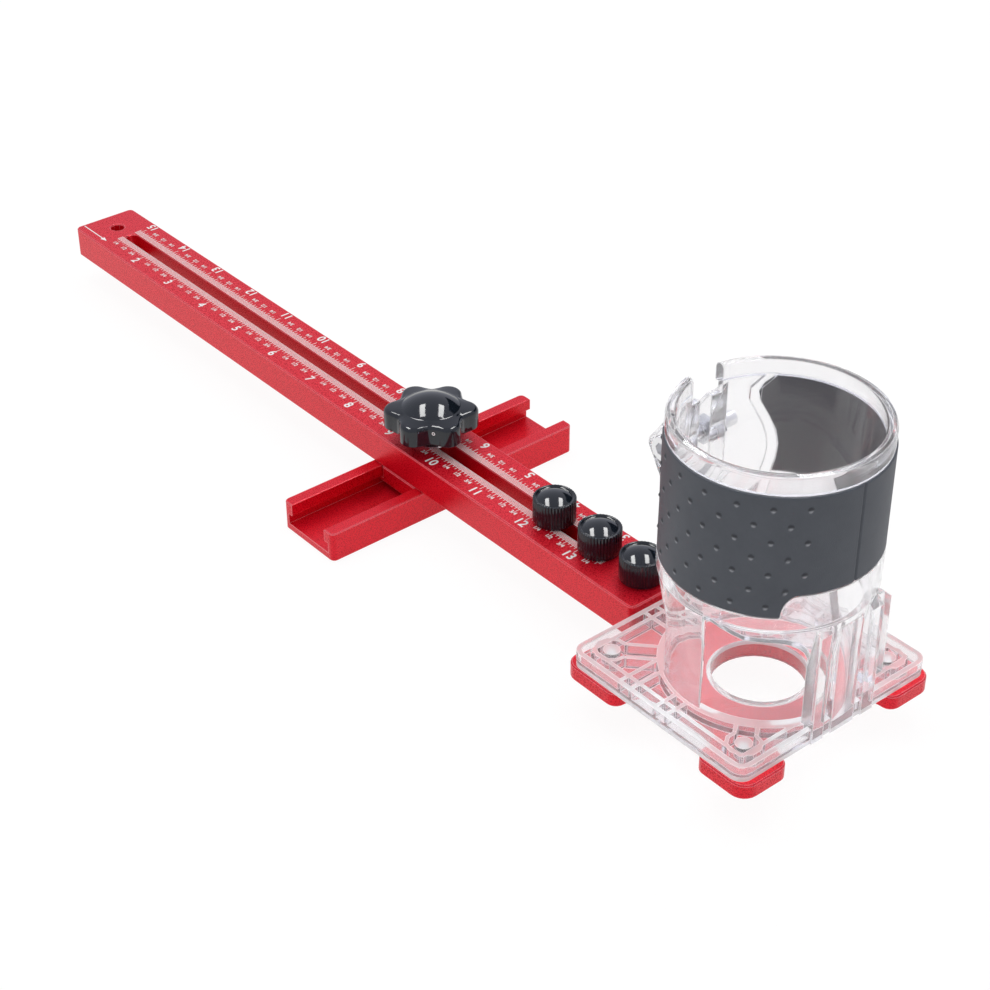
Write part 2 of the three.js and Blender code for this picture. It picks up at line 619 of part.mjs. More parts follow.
// The ring round one boss, open towards the skirt, and the two ribs that run from it.
function bossWork(x, y) {
  const reach = Math.hypot(x, y);
  const inward = Math.atan2(-y, -x);
  const opening = THREE.MathUtils.radToDeg(Math.asin(KEY_HALF / BOSS_RING_RADIUS));
  const ring = ringSector(BOSS_RING_RADIUS - BASE_RIB, BOSS_RING_RADIUS, opening, 360 - opening);
  const wall = slab(ring, BASE_FLOOR - SEAT_GAP, BASE_TOP, 0, DOME_STEPS);
  const pieces = [wall.rotateZ(inward).translate(x, y, 0)];
  for (const side of [-1, 1]) {
    const run = block(BOSS_RING_RADIUS - BASE_RIB, reach - SKIRT_BORE, side * KEY_HALF - BASE_RIB / 2,
      side * KEY_HALF + BASE_RIB / 2, BASE_FLOOR - SEAT_GAP, BASE_TOP);
    pieces.push(run.rotateZ(inward).translate(x, y, 0));
  }
  pieces.push(post(x, y, BOSS_RADIUS, BASE_FLOOR - SEAT_GAP, BASE_TOP, SMALL_STEPS));
  return pieces;
}

function baseSole() {
  const side = BASE_WIDTH / 2;
  const full = roundedRectangle(BASE_NEAR, -side, BASE_FAR, side, BASE_CORNER);
  const pocket = roundedRectangle(BASE_NEAR + BASE_WALL, BASE_WALL - side, BASE_FAR - BASE_WALL,
    side - BASE_WALL, BASE_CORNER - BASE_WALL);
  let sole = solid(slab(full, BASE_BOTTOM, BASE_TOP));
  sole = sole.subtract(solid(slab(pocket, BASE_FLOOR, BASE_TOP + OVERRUN)));
  const ribs = [turned([
    [SKIRT_BORE, BASE_FLOOR - SEAT_GAP], [FOOT_RADIUS, BASE_FLOOR - SEAT_GAP], [FOOT_RADIUS, BASE_TOP],
    [SKIRT_BORE, BASE_TOP], [SKIRT_BORE, BASE_FLOOR - SEAT_GAP],
  ], TOWER_STEPS)];
  for (const [x, y] of bossPlaces()) ribs.push(...bossWork(x, y));
  const innerNear = BASE_NEAR + INNER_RIB_INSET;
  const innerFar = BASE_FAR - INNER_RIB_INSET;
  const innerSide = side - INNER_RIB_INSET;
  for (const end of [-1, 1]) {
    for (const offset of [-RIB_PAIR_HALF, RIB_PAIR_HALF]) {
      for (const place of [SIDE_RIB_FROM, SIDE_RIB_TO]) {
        const x = place + offset;
        const skirtY = Math.sqrt(SKIRT_BORE ** 2 - x ** 2);
        ribs.push(soleRib(x, end * (side - BASE_WALL / 2), x, end * skirtY));
      }
      const y = end * (BAR_RIB_SIDE + offset);
      ribs.push(soleRib(BASE_NEAR + BASE_WALL / 2, y, -Math.sqrt(SKIRT_BORE ** 2 - y ** 2), y));
    }
    ribs.push(soleRib(innerNear, end * innerSide, innerFar, end * innerSide));
    for (const inner of [innerNear, innerFar]) ribs.push(soleRib(inner, 0, inner, end * innerSide));
  }
  for (const rib of ribs) sole = sole.add(solid(rib));
  return sole;
}

function guideBlock() {
  const profile = outline([
    [SKIRT_BORE, BASE_BOTTOM, 0], [GUIDE_REACH, BASE_BOTTOM, 0], [GUIDE_REACH, GUIDE_TOP, 0],
    [SKIRT_BORE, GUIDE_TOP + GUIDE_SLOPE, 0],
  ]);
  let guide = solid(across(profile, -GUIDE_LEFT, GUIDE_RIGHT));
  for (const place of [-GUIDE_GROOVE_LEFT, GUIDE_GROOVE_RIGHT]) {
    const half = GUIDE_GROOVE_WIDTH / 2;
    const groove = block(GUIDE_REACH - GUIDE_GROOVE_DEPTH, GUIDE_REACH + OVERRUN, place - half,
      place + half, BASE_BOTTOM - OVERRUN, GUIDE_TOP + GUIDE_SLOPE);
    guide = guide.subtract(solid(groove));
  }
  const inner = Math.min(Math.sqrt(SKIRT_BORE ** 2 - GUIDE_RIGHT ** 2), WING_REACH - WING_THICKNESS);
  const wing = outline([
    [-WING_SIDE, WING_BOTTOM, 0], [OVERRUN - GUIDE_RIGHT, WING_BOTTOM, 0],
    [OVERRUN - GUIDE_RIGHT, WING_TOP, 0], [WING_CHAMFER - WING_SIDE, WING_TOP, 0],
    [-WING_SIDE, WING_TOP - WING_CHAMFER, 0],
  ]);
  return guide.add(solid(across(wing, inner, WING_REACH).rotateZ(-Math.PI / 2)));
}

// One clamp ear: a wedge that stands out from the sleeve's side, pointed at the screw.
function clampEar(side) {
  const shape = outline([
    [-SLEEVE_BORE, EAR_BOTTOM, 0],
    [-SLEEVE_BORE, EAR_TOP, 0],
    [-EAR_REACH, CLAMP_HEIGHT, EAR_ROUND],
  ]);
  const from = side > 0 ? SPLIT_WIDTH / 2 : -EAR_OUTER;
  const to = side > 0 ? EAR_OUTER : -SPLIT_WIDTH / 2;
  return across(shape, from, to);
}

// A cylinder lying along Y on the clamp screw's axis.
function crossPost(radius, fromY, toY) {
  const cylinder = new THREE.CylinderGeometry(radius, radius, toY - fromY, SMALL_STEPS);
  return cylinder.translate(-CLAMP_REACH, (fromY + toY) / 2, CLAMP_HEIGHT);
}

function routerBase() {
  let base = solid(turned(towerProfile(), TOWER_STEPS));
  base = base.add(solid(gripBead()));
  for (const side of [-1, 1]) base = base.add(solid(gripBorder(side)));
  for (const side of [-1, 1]) base = base.subtract(solid(sideWindow(side)));
  base = base.subtract(solid(barWindow()));
  base = base.add(baseSole()).add(guideBlock());
  for (const side of [-1, 1]) base = base.add(solid(clampEar(side)));
  base = base.subtract(solid(post(0, 0, SKIRT_BORE, BASE_FLOOR, LEDGE_HEIGHT + OVERRUN, TOWER_STEPS)));
  base = base.subtract(solid(post(0, 0, SLEEVE_BORE, LEDGE_HEIGHT, RIM_TOP + OVERRUN, TOWER_STEPS)));
  base = base.add(solid(post(0, 0, PLATE_HOLE_RADIUS - SLIP_GAP, COLLAR_BOTTOM, BASE_FLOOR)));
  const collarEnd = COLLAR_BOTTOM - OVERRUN;
  base = base.subtract(solid(post(0, 0, SOLE_HOLE_RADIUS, collarEnd, BASE_FLOOR + OVERRUN)));
  for (const [width, bottom] of [[SPLIT_WIDTH, SPLIT_BOTTOM], [MOUTH_WIDTH, MOUTH_BOTTOM]]) {
    base = base.subtract(solid(block(-EAR_REACH - OVERRUN, -SKIRT_BORE / 2, -width / 2, width / 2, bottom,
      RIM_TOP + OVERRUN)));
  }
  base = base.subtract(solid(crossPost(CLAMP_SCREW_RADIUS + SLIP_GAP, -EAR_OUTER, EAR_OUTER + OVERRUN)));
  base = base.subtract(solid(crossPost(CLAMP_HEAD_RADIUS + RUN_GAP, -EAR_OUTER - OVERRUN, CLAMP_SEAT)));
  for (const [x, y] of bossPlaces()) {
    const hole = turned(screwProfile(SLIP_GAP)).translate(x, y, PLATE_SCREW_SINK - SLIP_GAP);
    base = base.subtract(solid(hole));
  }
  return geometryOf(base);
}

function plateScrew() {
  return turned(screwProfile(0)).translate(0, 0, PLATE_SCREW_SINK);
}

function clampScrew() {
  const face = CLAMP_SEAT - CLAMP_WASHER_THICKNESS - 2 * SEAT_GAP;
  const screw = solid(crossPost(CLAMP_SCREW_RADIUS, face - CLAMP_HEAD_HEIGHT / 2, CLAMP_SCREW_END));
  const head = solid(crossPost(CLAMP_HEAD_RADIUS, face - CLAMP_HEAD_HEIGHT, face));
  const socket = across(hexagon(CLAMP_SOCKET_FLAT), face - CLAMP_HEAD_HEIGHT - OVERRUN,
    face - CLAMP_HEAD_HEIGHT + CLAMP_SOCKET_DEPTH).translate(-CLAMP_REACH, 0, CLAMP_HEIGHT);
  return geometryOf(screw.add(head).subtract(solid(socket)));
}

function clampWasher() {
  const seat = CLAMP_SEAT - SEAT_GAP;
  const outer = crossPost(CLAMP_HEAD_RADIUS, seat - CLAMP_WASHER_THICKNESS, seat);
  const bore = crossPost(CLAMP_SCREW_RADIUS + SLIP_GAP, -EAR_OUTER, 0);
  return geometryOf(solid(outer).subtract(solid(bore)));
}

function clampNut() {
  const seat = EAR_OUTER + SEAT_GAP;
  const nut = across(hexagon(CLAMP_NUT_FLAT), seat, seat + CLAMP_NUT_THICKNESS);
  nut.translate(-CLAMP_REACH, 0, CLAMP_HEIGHT);
  const bore = crossPost(CLAMP_SCREW_RADIUS + SLIP_GAP, 0, CLAMP_SCREW_END);
  return geometryOf(solid(nut).subtract(solid(bore)));
}

function crossRail() {
  const half = RAIL_WIDTH / 2;
  const opening = RAIL_OPENING / 2;
  const groove = RAIL_GROOVE_WIDTH / 2;
  const floor = RAIL_BOTTOM + RAIL_FLOOR;
  const right = [
    [half, RAIL_BOTTOM, PROFILE_ROUND], [half, RAIL_TOP, PROFILE_ROUND], [opening, RAIL_TOP, PROFILE_ROUND],
    [opening, RAIL_LIP_BOTTOM, PROFILE_ROUND], [groove, RAIL_LIP_BOTTOM, 0], [groove, floor, 0],
  ];
  const left = right.map(([x, z, radius]) => [-x, z, radius]).reverse();
  const endNear = -RAIL_LENGTH / 2;
  const endFar = RAIL_LENGTH / 2;
  const channel = solid(across(outline([...right, ...left]), endNear, endFar));
  const plan = roundedRectangle(-half, endNear, half, endFar, RAIL_CORNER);
  return geometryOf(channel.intersect(solid(slab(plan, RAIL_BOTTOM, RAIL_TOP, PROFILE_ROUND))));
}

function sliderPlate() {
  const wing = RAIL_GROOVE_WIDTH / 2 - RUN_GAP;
  const neck = RAIL_OPENING / 2 - RUN_GAP;
  const shape = outline([
    [-wing, SLIDER_BOTTOM, 0], [wing, SLIDER_BOTTOM, 0], [wing, WING_TOP_HEIGHT, 0],
    [neck, WING_TOP_HEIGHT, 0], [neck, -SLIDER_TOP_GAP, 0], [-neck, -SLIDER_TOP_GAP, 0],
    [-neck, WING_TOP_HEIGHT, 0], [-wing, WING_TOP_HEIGHT, 0],
  ]);
  const body = solid(across(shape, -SLIDER_LENGTH / 2, SLIDER_LENGTH / 2, EDGE_BREAK));
  const bore = post(BOLT_SHIFT, 0, BOLT_RADIUS + SLIP_GAP, SLIDER_BOTTOM - OVERRUN, OVERRUN);
  const pocket = slab(hexagon(BOLT_HEAD_FLAT + 2 * SLIP_GAP), SLIDER_BOTTOM - OVERRUN,
    SLIDER_BOTTOM + BOLT_HEAD_HEIGHT + SLIP_GAP).translate(BOLT_SHIFT, 0, 0);
  return geometryOf(body.subtract(solid(bore)).subtract(solid(pocket)));
}

function clampBolt() {
  const headTop = SLIDER_BOTTOM + BOLT_HEAD_HEIGHT;
  const head = slab(hexagon(BOLT_HEAD_FLAT), SLIDER_BOTTOM, headTop);
  const shank = post(0, 0, BOLT_RADIUS, headTop - BOLT_RADIUS, KNOB_BOTTOM + BOLT_REACH, SMALL_STEPS);
  return geometryOf(solid(head).add(solid(shank)));
}

// A flat ring washer with its underside at a given height.
function washer(radius, bore, bottom, thickness) {
  return turned([[bore, bottom], [radius, bottom], [radius, bottom + thickness], [bore, bottom + thickness],
    [bore, bottom]]);
}

// A low dome as a turned solid, from a foot at the bottom height up to its crown.
function dome(radius, bottom, shoulder, rise, foot = radius) {
  const profile = [[0, bottom], [foot, bottom], [radius, shoulder]];
  for (let i = 1; i <= DOME_STEPS; i += 1) {
    const angle = (i / DOME_STEPS) * (Math.PI / 2);
    profile.push([radius * Math.cos(angle), shoulder + rise * Math.sin(angle)]);
  }
  profile.at(-1)[0] = 0;
  return turned(profile);
}

function starKnob() {
  const points = [];
  const steps = KNOB_LOBES * DOME_STEPS * 2;
  for (let i = 0; i < steps; i += 1) {
    const angle = (i / steps) * 2 * Math.PI;
    const wave = (1 - Math.cos(KNOB_LOBES * angle)) / 2;
    const radius = KNOB_RADIUS - KNOB_LOBE_DEPTH * wave;
    points.push(new THREE.Vector2(radius * Math.cos(angle), radius * Math.sin(angle)));
  }
  const lobes = slab(new THREE.Shape(points), LOBE_BOTTOM, LOBE_TOP, KNOB_EDGE);
  const foot = KNOB_RADIUS - KNOB_LOBE_DEPTH - SLIP_GAP;
  const crown = dome(KNOB_DOME_RADIUS, LOBE_TOP - KNOB_EDGE, LOBE_TOP + KNOB_DOME_STEP,
    KNOB_DOME_RISE, foot);
  const hub = post(0, 0, KNOB_HUB_RADIUS, KNOB_BOTTOM, LOBE_BOTTOM + KNOB_EDGE);
  const socket = post(0, 0, INSERT_RADIUS + SLIP_GAP, KNOB_BOTTOM - OVERRUN,
    KNOB_BOTTOM + INSERT_HEIGHT + SLIP_GAP);
  const knob = solid(lobes.rotateZ(radians(KNOB_TURN))).add(solid(crown)).add(solid(hub));
  return geometryOf(knob.subtract(solid(socket)));
}

function thumbKnob() {
  const points = [];
  for (let i = 0; i < THUMB_RIBS * 2; i += 1) {
    const angle = (i / THUMB_RIBS) * Math.PI;
    const radius = i % 2 ? THUMB_RADIUS - THUMB_RIB_DEPTH : THUMB_RADIUS;
    points.push(new THREE.Vector2(radius * Math.cos(angle), radius * Math.sin(angle)));
  }
  const top = THUMB_BOTTOM + THUMB_HEIGHT;
  const shoulder = top - THUMB_RIM_SINK;
  const dish = post(0, 0, THUMB_DOME_RADIUS, shoulder, top + OVERRUN);
  const crown = dome(THUMB_DOME_RADIUS, THUMB_BOTTOM + THUMB_HEIGHT / 2, shoulder, THUMB_DOME_RISE);
  const recess = post(0, 0, THUMB_WASHER_RADIUS + SLIP_GAP, THUMB_BOTTOM - OVERRUN,
    THUMB_BOTTOM + THUMB_WASHER_THICKNESS + SEAT_GAP);
  const bore = post(0, 0, THUMB_STUD_RADIUS + SLIP_GAP, THUMB_BOTTOM - OVERRUN,
    THUMB_BOTTOM + THUMB_STUD_GRIP + SLIP_GAP, SMALL_STEPS);
  const sides = solid(slab(new THREE.Shape(points), THUMB_BOTTOM, top, EDGE_BREAK));
  const knob = sides.subtract(solid(dish)).add(solid(crown));
  return geometryOf(knob.subtract(solid(recess)).subtract(solid(bore)));
}

function mesh(name, geometry, finish) {
  const made = new THREE.Mesh(geometry, new THREE.MeshStandardMaterial(finish));
  made.name = name;
  return made;
}

function at(x, y, ...meshes) {
  const group = new THREE.Group();
  group.position.set(x, y, 0);
  group.add(...meshes);
  return group;
}

const jig = new THREE.Group();

jig.add(mesh('ruler_bar', rulerBar(), RED));

jig.add(at(ROUTER_AXIS, 0,
  mesh('router_plate', routerPlate(), RED),
  mesh('router_base', routerBase(), CLEAR),
  mesh('grip_sleeve', gripSleeve(), RUBBER),
  mesh('clamp_screw', clampScrew(), STEEL),
  mesh('clamp_washer', clampWasher(), STEEL),
  mesh('clamp_nut', clampNut(), STEEL)));

bossPlaces().forEach(([x, y], i) => {
  jig.add(at(ROUTER_AXIS + x, y, mesh(`plate_screw_${i + 1}`, plateScrew(), STEEL)));
});

jig.add(at(RAIL_PLACE, RAIL_SHIFT, mesh('cross_rail', crossRail(), RED)));
jig.add(at(RAIL_PLACE, 0, mesh('slider_plate', sliderPlate(), RED)));

jig.add(at(BOLT_PLACE, 0,
  mesh('clamp_bolt', clampBolt(), STEEL),
  mesh('knob_washer', washer(KNOB_WASHER_RADIUS, BOLT_RADIUS + SLIP_GAP, KNOB_WASHER_BOTTOM,
    KNOB_WASHER_THICKNESS), STEEL),
  mesh('star_knob', starKnob(), BLACK),
  mesh('knob_insert', washer(INSERT_RADIUS, BOLT_RADIUS + SLIP_GAP, KNOB_BOTTOM, INSERT_HEIGHT), BRASS)));

THUMB_PLACES.forEach((place, i) => {
  const stud = post(0, 0, THUMB_STUD_RADIUS, THUMB_STUD_LIFT, THUMB_BOTTOM + THUMB_STUD_GRIP, SMALL_STEPS);
  const ring = washer(THUMB_WASHER_RADIUS, THUMB_STUD_RADIUS + SLIP_GAP, THUMB_BOTTOM,
    THUMB_WASHER_THICKNESS);
  jig.add(at(place, 0,
    mesh(`thumb_knob_${i + 1}`, thumbKnob(), BLACK),
    mesh(`thumb_stud_${i + 1}`, stud, STEEL),
    mesh(`thumb_washer_${i + 1}`, ring, STEEL)));
});

// The part stands with the middle of its box over the origin.
const box = new THREE.Box3().setFromObject(jig, true);
const centre = box.getCenter(new THREE.Vector3());
jig.position.set(-centre.x, -centre.y, -box.min.z);

const part = new THREE.Group();
part.add(jig);

export default part;
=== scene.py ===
# The looks of the router circle cutting jig: camera, light, materials, printed scales, rubber grip
# and knobs. Lengths are in millimetres from the bar's free end, centre line and underside, and
# spot() turns them into the frame's metres. Angles are in degrees unless said otherwise.
import math

import bpy
from mathutils import Matrix, Vector


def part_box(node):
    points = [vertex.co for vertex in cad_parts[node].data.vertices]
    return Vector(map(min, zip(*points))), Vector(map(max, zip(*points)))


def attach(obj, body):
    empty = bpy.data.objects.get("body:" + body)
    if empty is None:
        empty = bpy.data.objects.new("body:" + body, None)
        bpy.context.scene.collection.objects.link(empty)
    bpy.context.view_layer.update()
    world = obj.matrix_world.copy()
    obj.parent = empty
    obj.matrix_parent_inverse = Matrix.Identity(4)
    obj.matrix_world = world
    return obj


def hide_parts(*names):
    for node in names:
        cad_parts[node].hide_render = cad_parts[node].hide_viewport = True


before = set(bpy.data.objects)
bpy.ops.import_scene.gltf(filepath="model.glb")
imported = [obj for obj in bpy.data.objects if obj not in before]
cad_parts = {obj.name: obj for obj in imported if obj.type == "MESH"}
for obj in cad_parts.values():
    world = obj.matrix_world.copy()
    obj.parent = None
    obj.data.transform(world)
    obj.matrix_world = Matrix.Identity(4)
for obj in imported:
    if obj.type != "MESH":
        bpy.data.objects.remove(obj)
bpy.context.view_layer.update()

MM = 0.001
BAR_LOW, BAR_HIGH = (Vector(corner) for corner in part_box("ruler_bar"))
ORIGIN = Vector((BAR_LOW.x, (BAR_LOW.y + BAR_HIGH.y) / 2, BAR_LOW.z))
BAR_LENGTH = (BAR_HIGH.x - BAR_LOW.x) / MM
BAR_TOP = (BAR_HIGH.z - BAR_LOW.z) / MM

# The router's axis is upright and stands this far past the bar's end, on its centre line.
ROUTER_GAP = 45.5

# The camera, fitted to both printed scales. Its turns are in radians.
CAMERA_PLACE = (763.47, -409.32, 444.53)
CAMERA_YAW = 0.878
CAMERA_PITCH = -0.6
CAMERA_ROLL = -0.003
CAMERA_FOCAL_PIXELS = 2135.57
PHOTO_SIDE = 990
SENSOR = 36

# Two long overhead lamps, bright panels in their place for the domes to mirror, a dark card that
# they mirror too, and the pale room.
WHITE = (1, 1, 1, 1)
LAMP_AIM = (270, 0, 20)
LAMP_HEIGHT = 1000
LAMP_AHEAD = 350
LAMP_SIDE = 340
LAMP_WIDTH = 200
LAMP_LENGTH = 720
LAMP_POWER = 2.0
PANEL_LIGHT = 15.0
CARD_SIDE = 1430
CARD_AHEAD = 1700
CARD_WIDTH = 1500
CARD_LENGTH = 2300
ROOM_LIGHT = 0.72
ROOM_MIRRORED = 0.78
MIRRORED_TINT = (0.92, 0.94, 1.08, 1)
FLOOR_SIDE = 8000
FLOOR_DROP = 0.1
FLOOR_ALBEDO = 0.95
FLOOR_SHADOWED = 0.09
FLOOR_GLOW = 0.93

# Smoothing of the CAD's facets: corners closer than WELD, in metres, are joined, and edges past
# the angle stay sharp.
WELD = 0.000001
SHARP_ANGLE = 28

# Textures of every finish: detail of the patches of tone and of the grain, where the tones lie
# in the noise, the depth of the relief, and how far the grain moves the roughness.
PATCH_DETAIL = 8.0
PATCH_ROUGHNESS = 0.75
GRAIN_DETAIL = 2.0
TONE_SHARES = (0.3, 0.7)
RELIEF = 0.25
GLOSS_SPREAD = 0.06

# The red pieces' painted highlight along their edges: its width, its tone and that tone's share.
RED_EDGE_HIGHLIGHT = (0.35, (1.0, 0.42, 0.46), 0.95)

# The mask along edges compares a rounded normal with the flat one. It starts where their product
# falls below the first value and is full at the second.
EDGE_SAMPLES = 6
EDGE_START = 0.995
EDGE_FULL = 0.93

# Clear plastic, with a painted highlight that makes it whiter and less clear along edges outside a radius
# from the router's axis.
CLEAR_EDGE_HIGHLIGHT = 0.6
CLEAR_ALPHA = 0.93
CLEAR_TRANSMISSION = 0.93
CLEAR_INNER = 28
HIGHLIGHT_ALPHA = 0.95
HIGHLIGHT_TRANSMISSION = 0.15

# The clear sole's zones of painted highlight: a height and its reach, the upright part of the normals
# there with its slack, and how white the zone is painted. They are the ribs' tops, the sole's floor
# and the band round its lower edge.
SOLE_TOP = 11.45
SOLE_FLOOR = 7.45
SOLE_BOTTOM = 5.65
SOLE_MIDDLE = (SOLE_FLOOR + SOLE_BOTTOM) / 2
ZONE_REACH = 0.2
LEVEL_SLACK = 0.1
UPRIGHT_SLACK = 0.3
TOP_HIGHLIGHT = 0.55
SKIN_HIGHLIGHT = 0.18
BAND_HIGHLIGHT = 0.7
HIGHLIGHT_ZONES = [
    (SOLE_TOP, ZONE_REACH, 1, LEVEL_SLACK, TOP_HIGHLIGHT),
    (SOLE_FLOOR, ZONE_REACH, 1, LEVEL_SLACK, SKIN_HIGHLIGHT),
    (SOLE_MIDDLE, SOLE_FLOOR - SOLE_MIDDLE, 0, UPRIGHT_SLACK, BAND_HIGHLIGHT),
]

# Printed scales.
INCH = 25.4
INK_LIFT = 0.02
NEAR_ZERO = -8.0
FAR_ZERO = 403.2
NEAR_NUMBERS = range(2, 14)
FAR_NUMBERS = range(3, 16)
FRACTIONS = {1: "1/4", 2: "1/2", 3: "3/4"}
SCALE_START = 20.6
SCALE_END = 333.3
NUMBER_NEAR = -10.25
NUMBER_FAR = 11.7
FRACTION_NEAR = -8.35
FRACTION_FAR = 9.1
NUMBER_SIZE = 5.3
FRACTION_SIZE = 2.4
BOLD = 0.02
BOLD_STAMPS = [(-1, -1), (1, -1), (-1, 1), (1, 1), (0, 0)]
STAMP_RISE = 0.01
BAND_NEAR = -2.95
BAND_FAR = 3.2
BAND_LINES = 5
BAND_PITCH = 0.56
BAND_LINE = 0.24
TICK_WIDTH = 0.24
TICKS_PER_INCH = 16
TICK_LENGTHS = {16: 2.6, 8: 2.1, 4: 1.7, 2: 1.35, 1: 1.0}
ARROW_START = 1.2
ARROW_END = 19.6
ARROW_PLACE = -10.4
ARROW_LINE = 0.5
ARROW_HEAD = 3.4
ARROW_HEAD_HALF = 1.1

# Steps of the knobs' rounded edges and domes.
ROUND_STEPS = 6
DOME_STEPS = 14

# Star knob: its outline, its body from the foot up, and the hollow round its dome, whose gentle
# slope is in radians.
STAR_LOBES = 6
STAR_TIP_ANGLE = 50.3
STAR_RADIUS = 17.55
STAR_DEPTH = 3.5
STAR_FLAT = 2.5
STAR_VALLEY = 29
STAR_FLUTES = 5
STAR_FLUTE_DEPTH = 0.1
STAR_STEPS = 360
STAR_HUB = 8.6
STAR_SOCKET = 4.6
STAR_SOCKET_DEPTH = 10.1
STAR_FOOT = 4.2
STAR_FOOT_EDGE = 0.6
STAR_HEIGHT = 12.2
STAR_EDGE = 1.8
STAR_BLEND_SHARES = (0.5, 1)
STAR_STEP = 0.8
STAR_DOME = 10.6
STAR_RISE = 3.4
FILLET_RADIUS = 1.2
FILLET_STEPS = 6
FILLET_GENTLE = 0.1

# The small printed ring in a hollow of the star knob, so many pitches round from the tip.
DOT_PITCHES = 1.5
DOT_TURN = 4.8
DOT_HEIGHT = 9.4
DOT_RADIUS = 0.72
DOT_HOLE = 0.36
DOT_STEPS = 32

# Thumb knobs.
THUMB_KNOBS = (1, 2, 3)
THUMB_RADIUS = 7.75
THUMB_RIBS = 42
THUMB_RIB_DEPTH = 0.34
RIB_STEPS = 8
THUMB_STEPS = THUMB_RIBS * RIB_STEPS
THUMB_EDGE = 0.5
THUMB_HEIGHT = 9.8
THUMB_DOME = 6.5
THUMB_LEDGE = 0.125
THUMB_SINK = 0.6
THUMB_RISE = 1.8
THUMB_RECESS = 5.3
THUMB_RECESS_DEPTH = 1.1
THUMB_BORE = 2.5
THUMB_BORE_DEPTH = 6.6

# Rubber grip on the clear sleeve, by angle from the side away from the bar. The angles of its ends
# belong to shares of the way up from its step. Its inside is painted with the same shade as the bumps'
# tops.
GRIP_INNER = 33.7
GRIP_OUTER = 35.1
GRIP_TOP = 98.9
GRIP_LOW = 55.3
GRIP_STEP = 63.4
GRIP_GAP = 0.15
STEP_FROM = -41.3
STEP_TO = -32.3
GRIP_ENDS = [134.5, 132.6, 131.6, 133.4, 137.9, 142.8, 144.4, 141.5, 135.4]
GRIP_SHARES = [0, 0.12, 0.28, 0.43, 0.59, 0.72, 0.83, 0.92, 1]
GRIP_COLUMNS = 600
GRIP_ROWS = 110
GRIP_EDGE = 0.35
INSIDE_PAINTED_SHADE = 1
SEAM_ANGLE = 358.7
SEAM_HALF = 0.55
SEAM_DEPTH = 0.6

# The grip's bumps. Those at angles over the limit stay above the grip's step. Shares of a bump's
# radius say where the painted shade on its top and the painted highlight at its foot fade, and each
# has a tone and that tone's share.
BUMP_FIRST = 329.2
BUMP_STEP = 8.85
BUMP_COLUMNS = 18
BUMP_TOP = 94.5
BUMP_PITCH = 11.65
BUMP_ROWS = 4
BUMP_LIMIT = 312
BUMP_RADIUS = 1.15
BUMP_RISE = 0.55
TOP_RIM_SHARES = (0.75, 1)
TOP_LINE_SHARES = (-0.25, 0.05)
FOOT_RIM_SHARES = (0.3, 0.75)
FOOT_DROP_SHARE = 0.45
BUMP_PAINTED_LIGHT = {"bump_painted_shade": ((0.012, 0.013, 0.016), 0.8), "bump_painted_highlight": ((0.3, 0.31, 0.34), 0.7)}


def spot(x, y, z):
    """A place on the jig, in millimetres, as a point of the frame."""
    return ORIGIN + Vector((x, y, z)) * MM


def local(point):
    """A point of the frame as a place on the jig, in millimetres."""
    return tuple((Vector(point) - ORIGIN) / MM)


def around(radius, angle, height):
    """A point by its distance and angle from an upright axis."""
    turn = math.radians(angle)
    return (radius * math.cos(turn), radius * math.sin(turn), height)


def lerp(start, end, share):
    return start + (end - start) * share


def smooth(low, high, value):
    """0 below low, 1 above high, and an even bend between them."""
    share = min(max((value - low) / (high - low), 0), 1)
    return share * share * (3 - 2 * share)


# Pieces

def in_scene(made):
    bpy.context.scene.collection.objects.link(made)


def piece(name, points, faces, material, body, at, smoothed=True):
    """A new mesh piece with its origin at a place on the jig, riding on a body."""
    mesh = bpy.data.meshes.new(name)
    mesh.from_pydata([Vector(point) * MM for point in points], [], faces)
    mesh.validate()
    mesh.update()
    mesh.polygons.foreach_set("use_smooth", [smoothed] * len(mesh.polygons))
    made = bpy.data.objects.new(name, mesh)
    in_scene(made)
    made.location = spot(*at)
    made.data.materials.append(material)
    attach(made, body)
    return made


def lofted(rings):
    """Points and faces through closed rings with the same number of points. A ring of one point
    closes an end."""
    points, faces, before = [], [], None
    for ring in rings:
        start = len(points)
        points.extend(ring)
        if before is not None:
            first, count = before
            size = max(count, len(ring))
            for i in range(size):
                after = (i + 1) % size
                a, b = (first + i, first + after) if count > 1 else (first, first)
                c, d = (start + after, start + i) if len(ring) > 1 else (start, start)
                faces.append(list(dict.fromkeys((a, b, c, d))))
        before = (start, len(ring))
    return points, faces


def shaded_by_angle():
    """A modifier's node group that welds a CAD node's facets and smooths all but its sharp edges."""
    group = bpy.data.node_groups.new("smooth_by_angle", "GeometryNodeTree")
    for way in ("INPUT", "OUTPUT"):
        group.interface.new_socket("Geometry", in_out=way, socket_type="NodeSocketGeometry")
    nodes, links = group.nodes, group.links
    bare = nodes.new("GeometryNodeRemoveAttribute")
    bare.inputs["Name"].default_value = "custom_normal"
    weld = nodes.new("GeometryNodeMergeByDistance")
    weld.inputs["Distance"].default_value = WELD
    faces = nodes.new("GeometryNodeSetShadeSmooth")
    edges = nodes.new("GeometryNodeSetShadeSmooth")
    edges.domain = "EDGE"
    edges.inputs["Shade Smooth"].default_value = False
    angle = nodes.new("GeometryNodeInputMeshEdgeAngle")
    sharp = nodes.new("FunctionNodeCompare")
    sharp.operation = "GREATER_THAN"
    sharp.inputs["B"].default_value = math.radians(SHARP_ANGLE)
    links.new(angle.outputs["Unsigned Angle"], sharp.inputs["A"])
    links.new(sharp.outputs["Result"], edges.inputs["Selection"])
    chain = [nodes.new("NodeGroupInput"), bare, weld, faces, edges, nodes.new("NodeGroupOutput")]
    for before, after in zip(chain, chain[1:]):
        links.new(before.outputs["Geometry"], after.inputs["Geometry"])
    return group


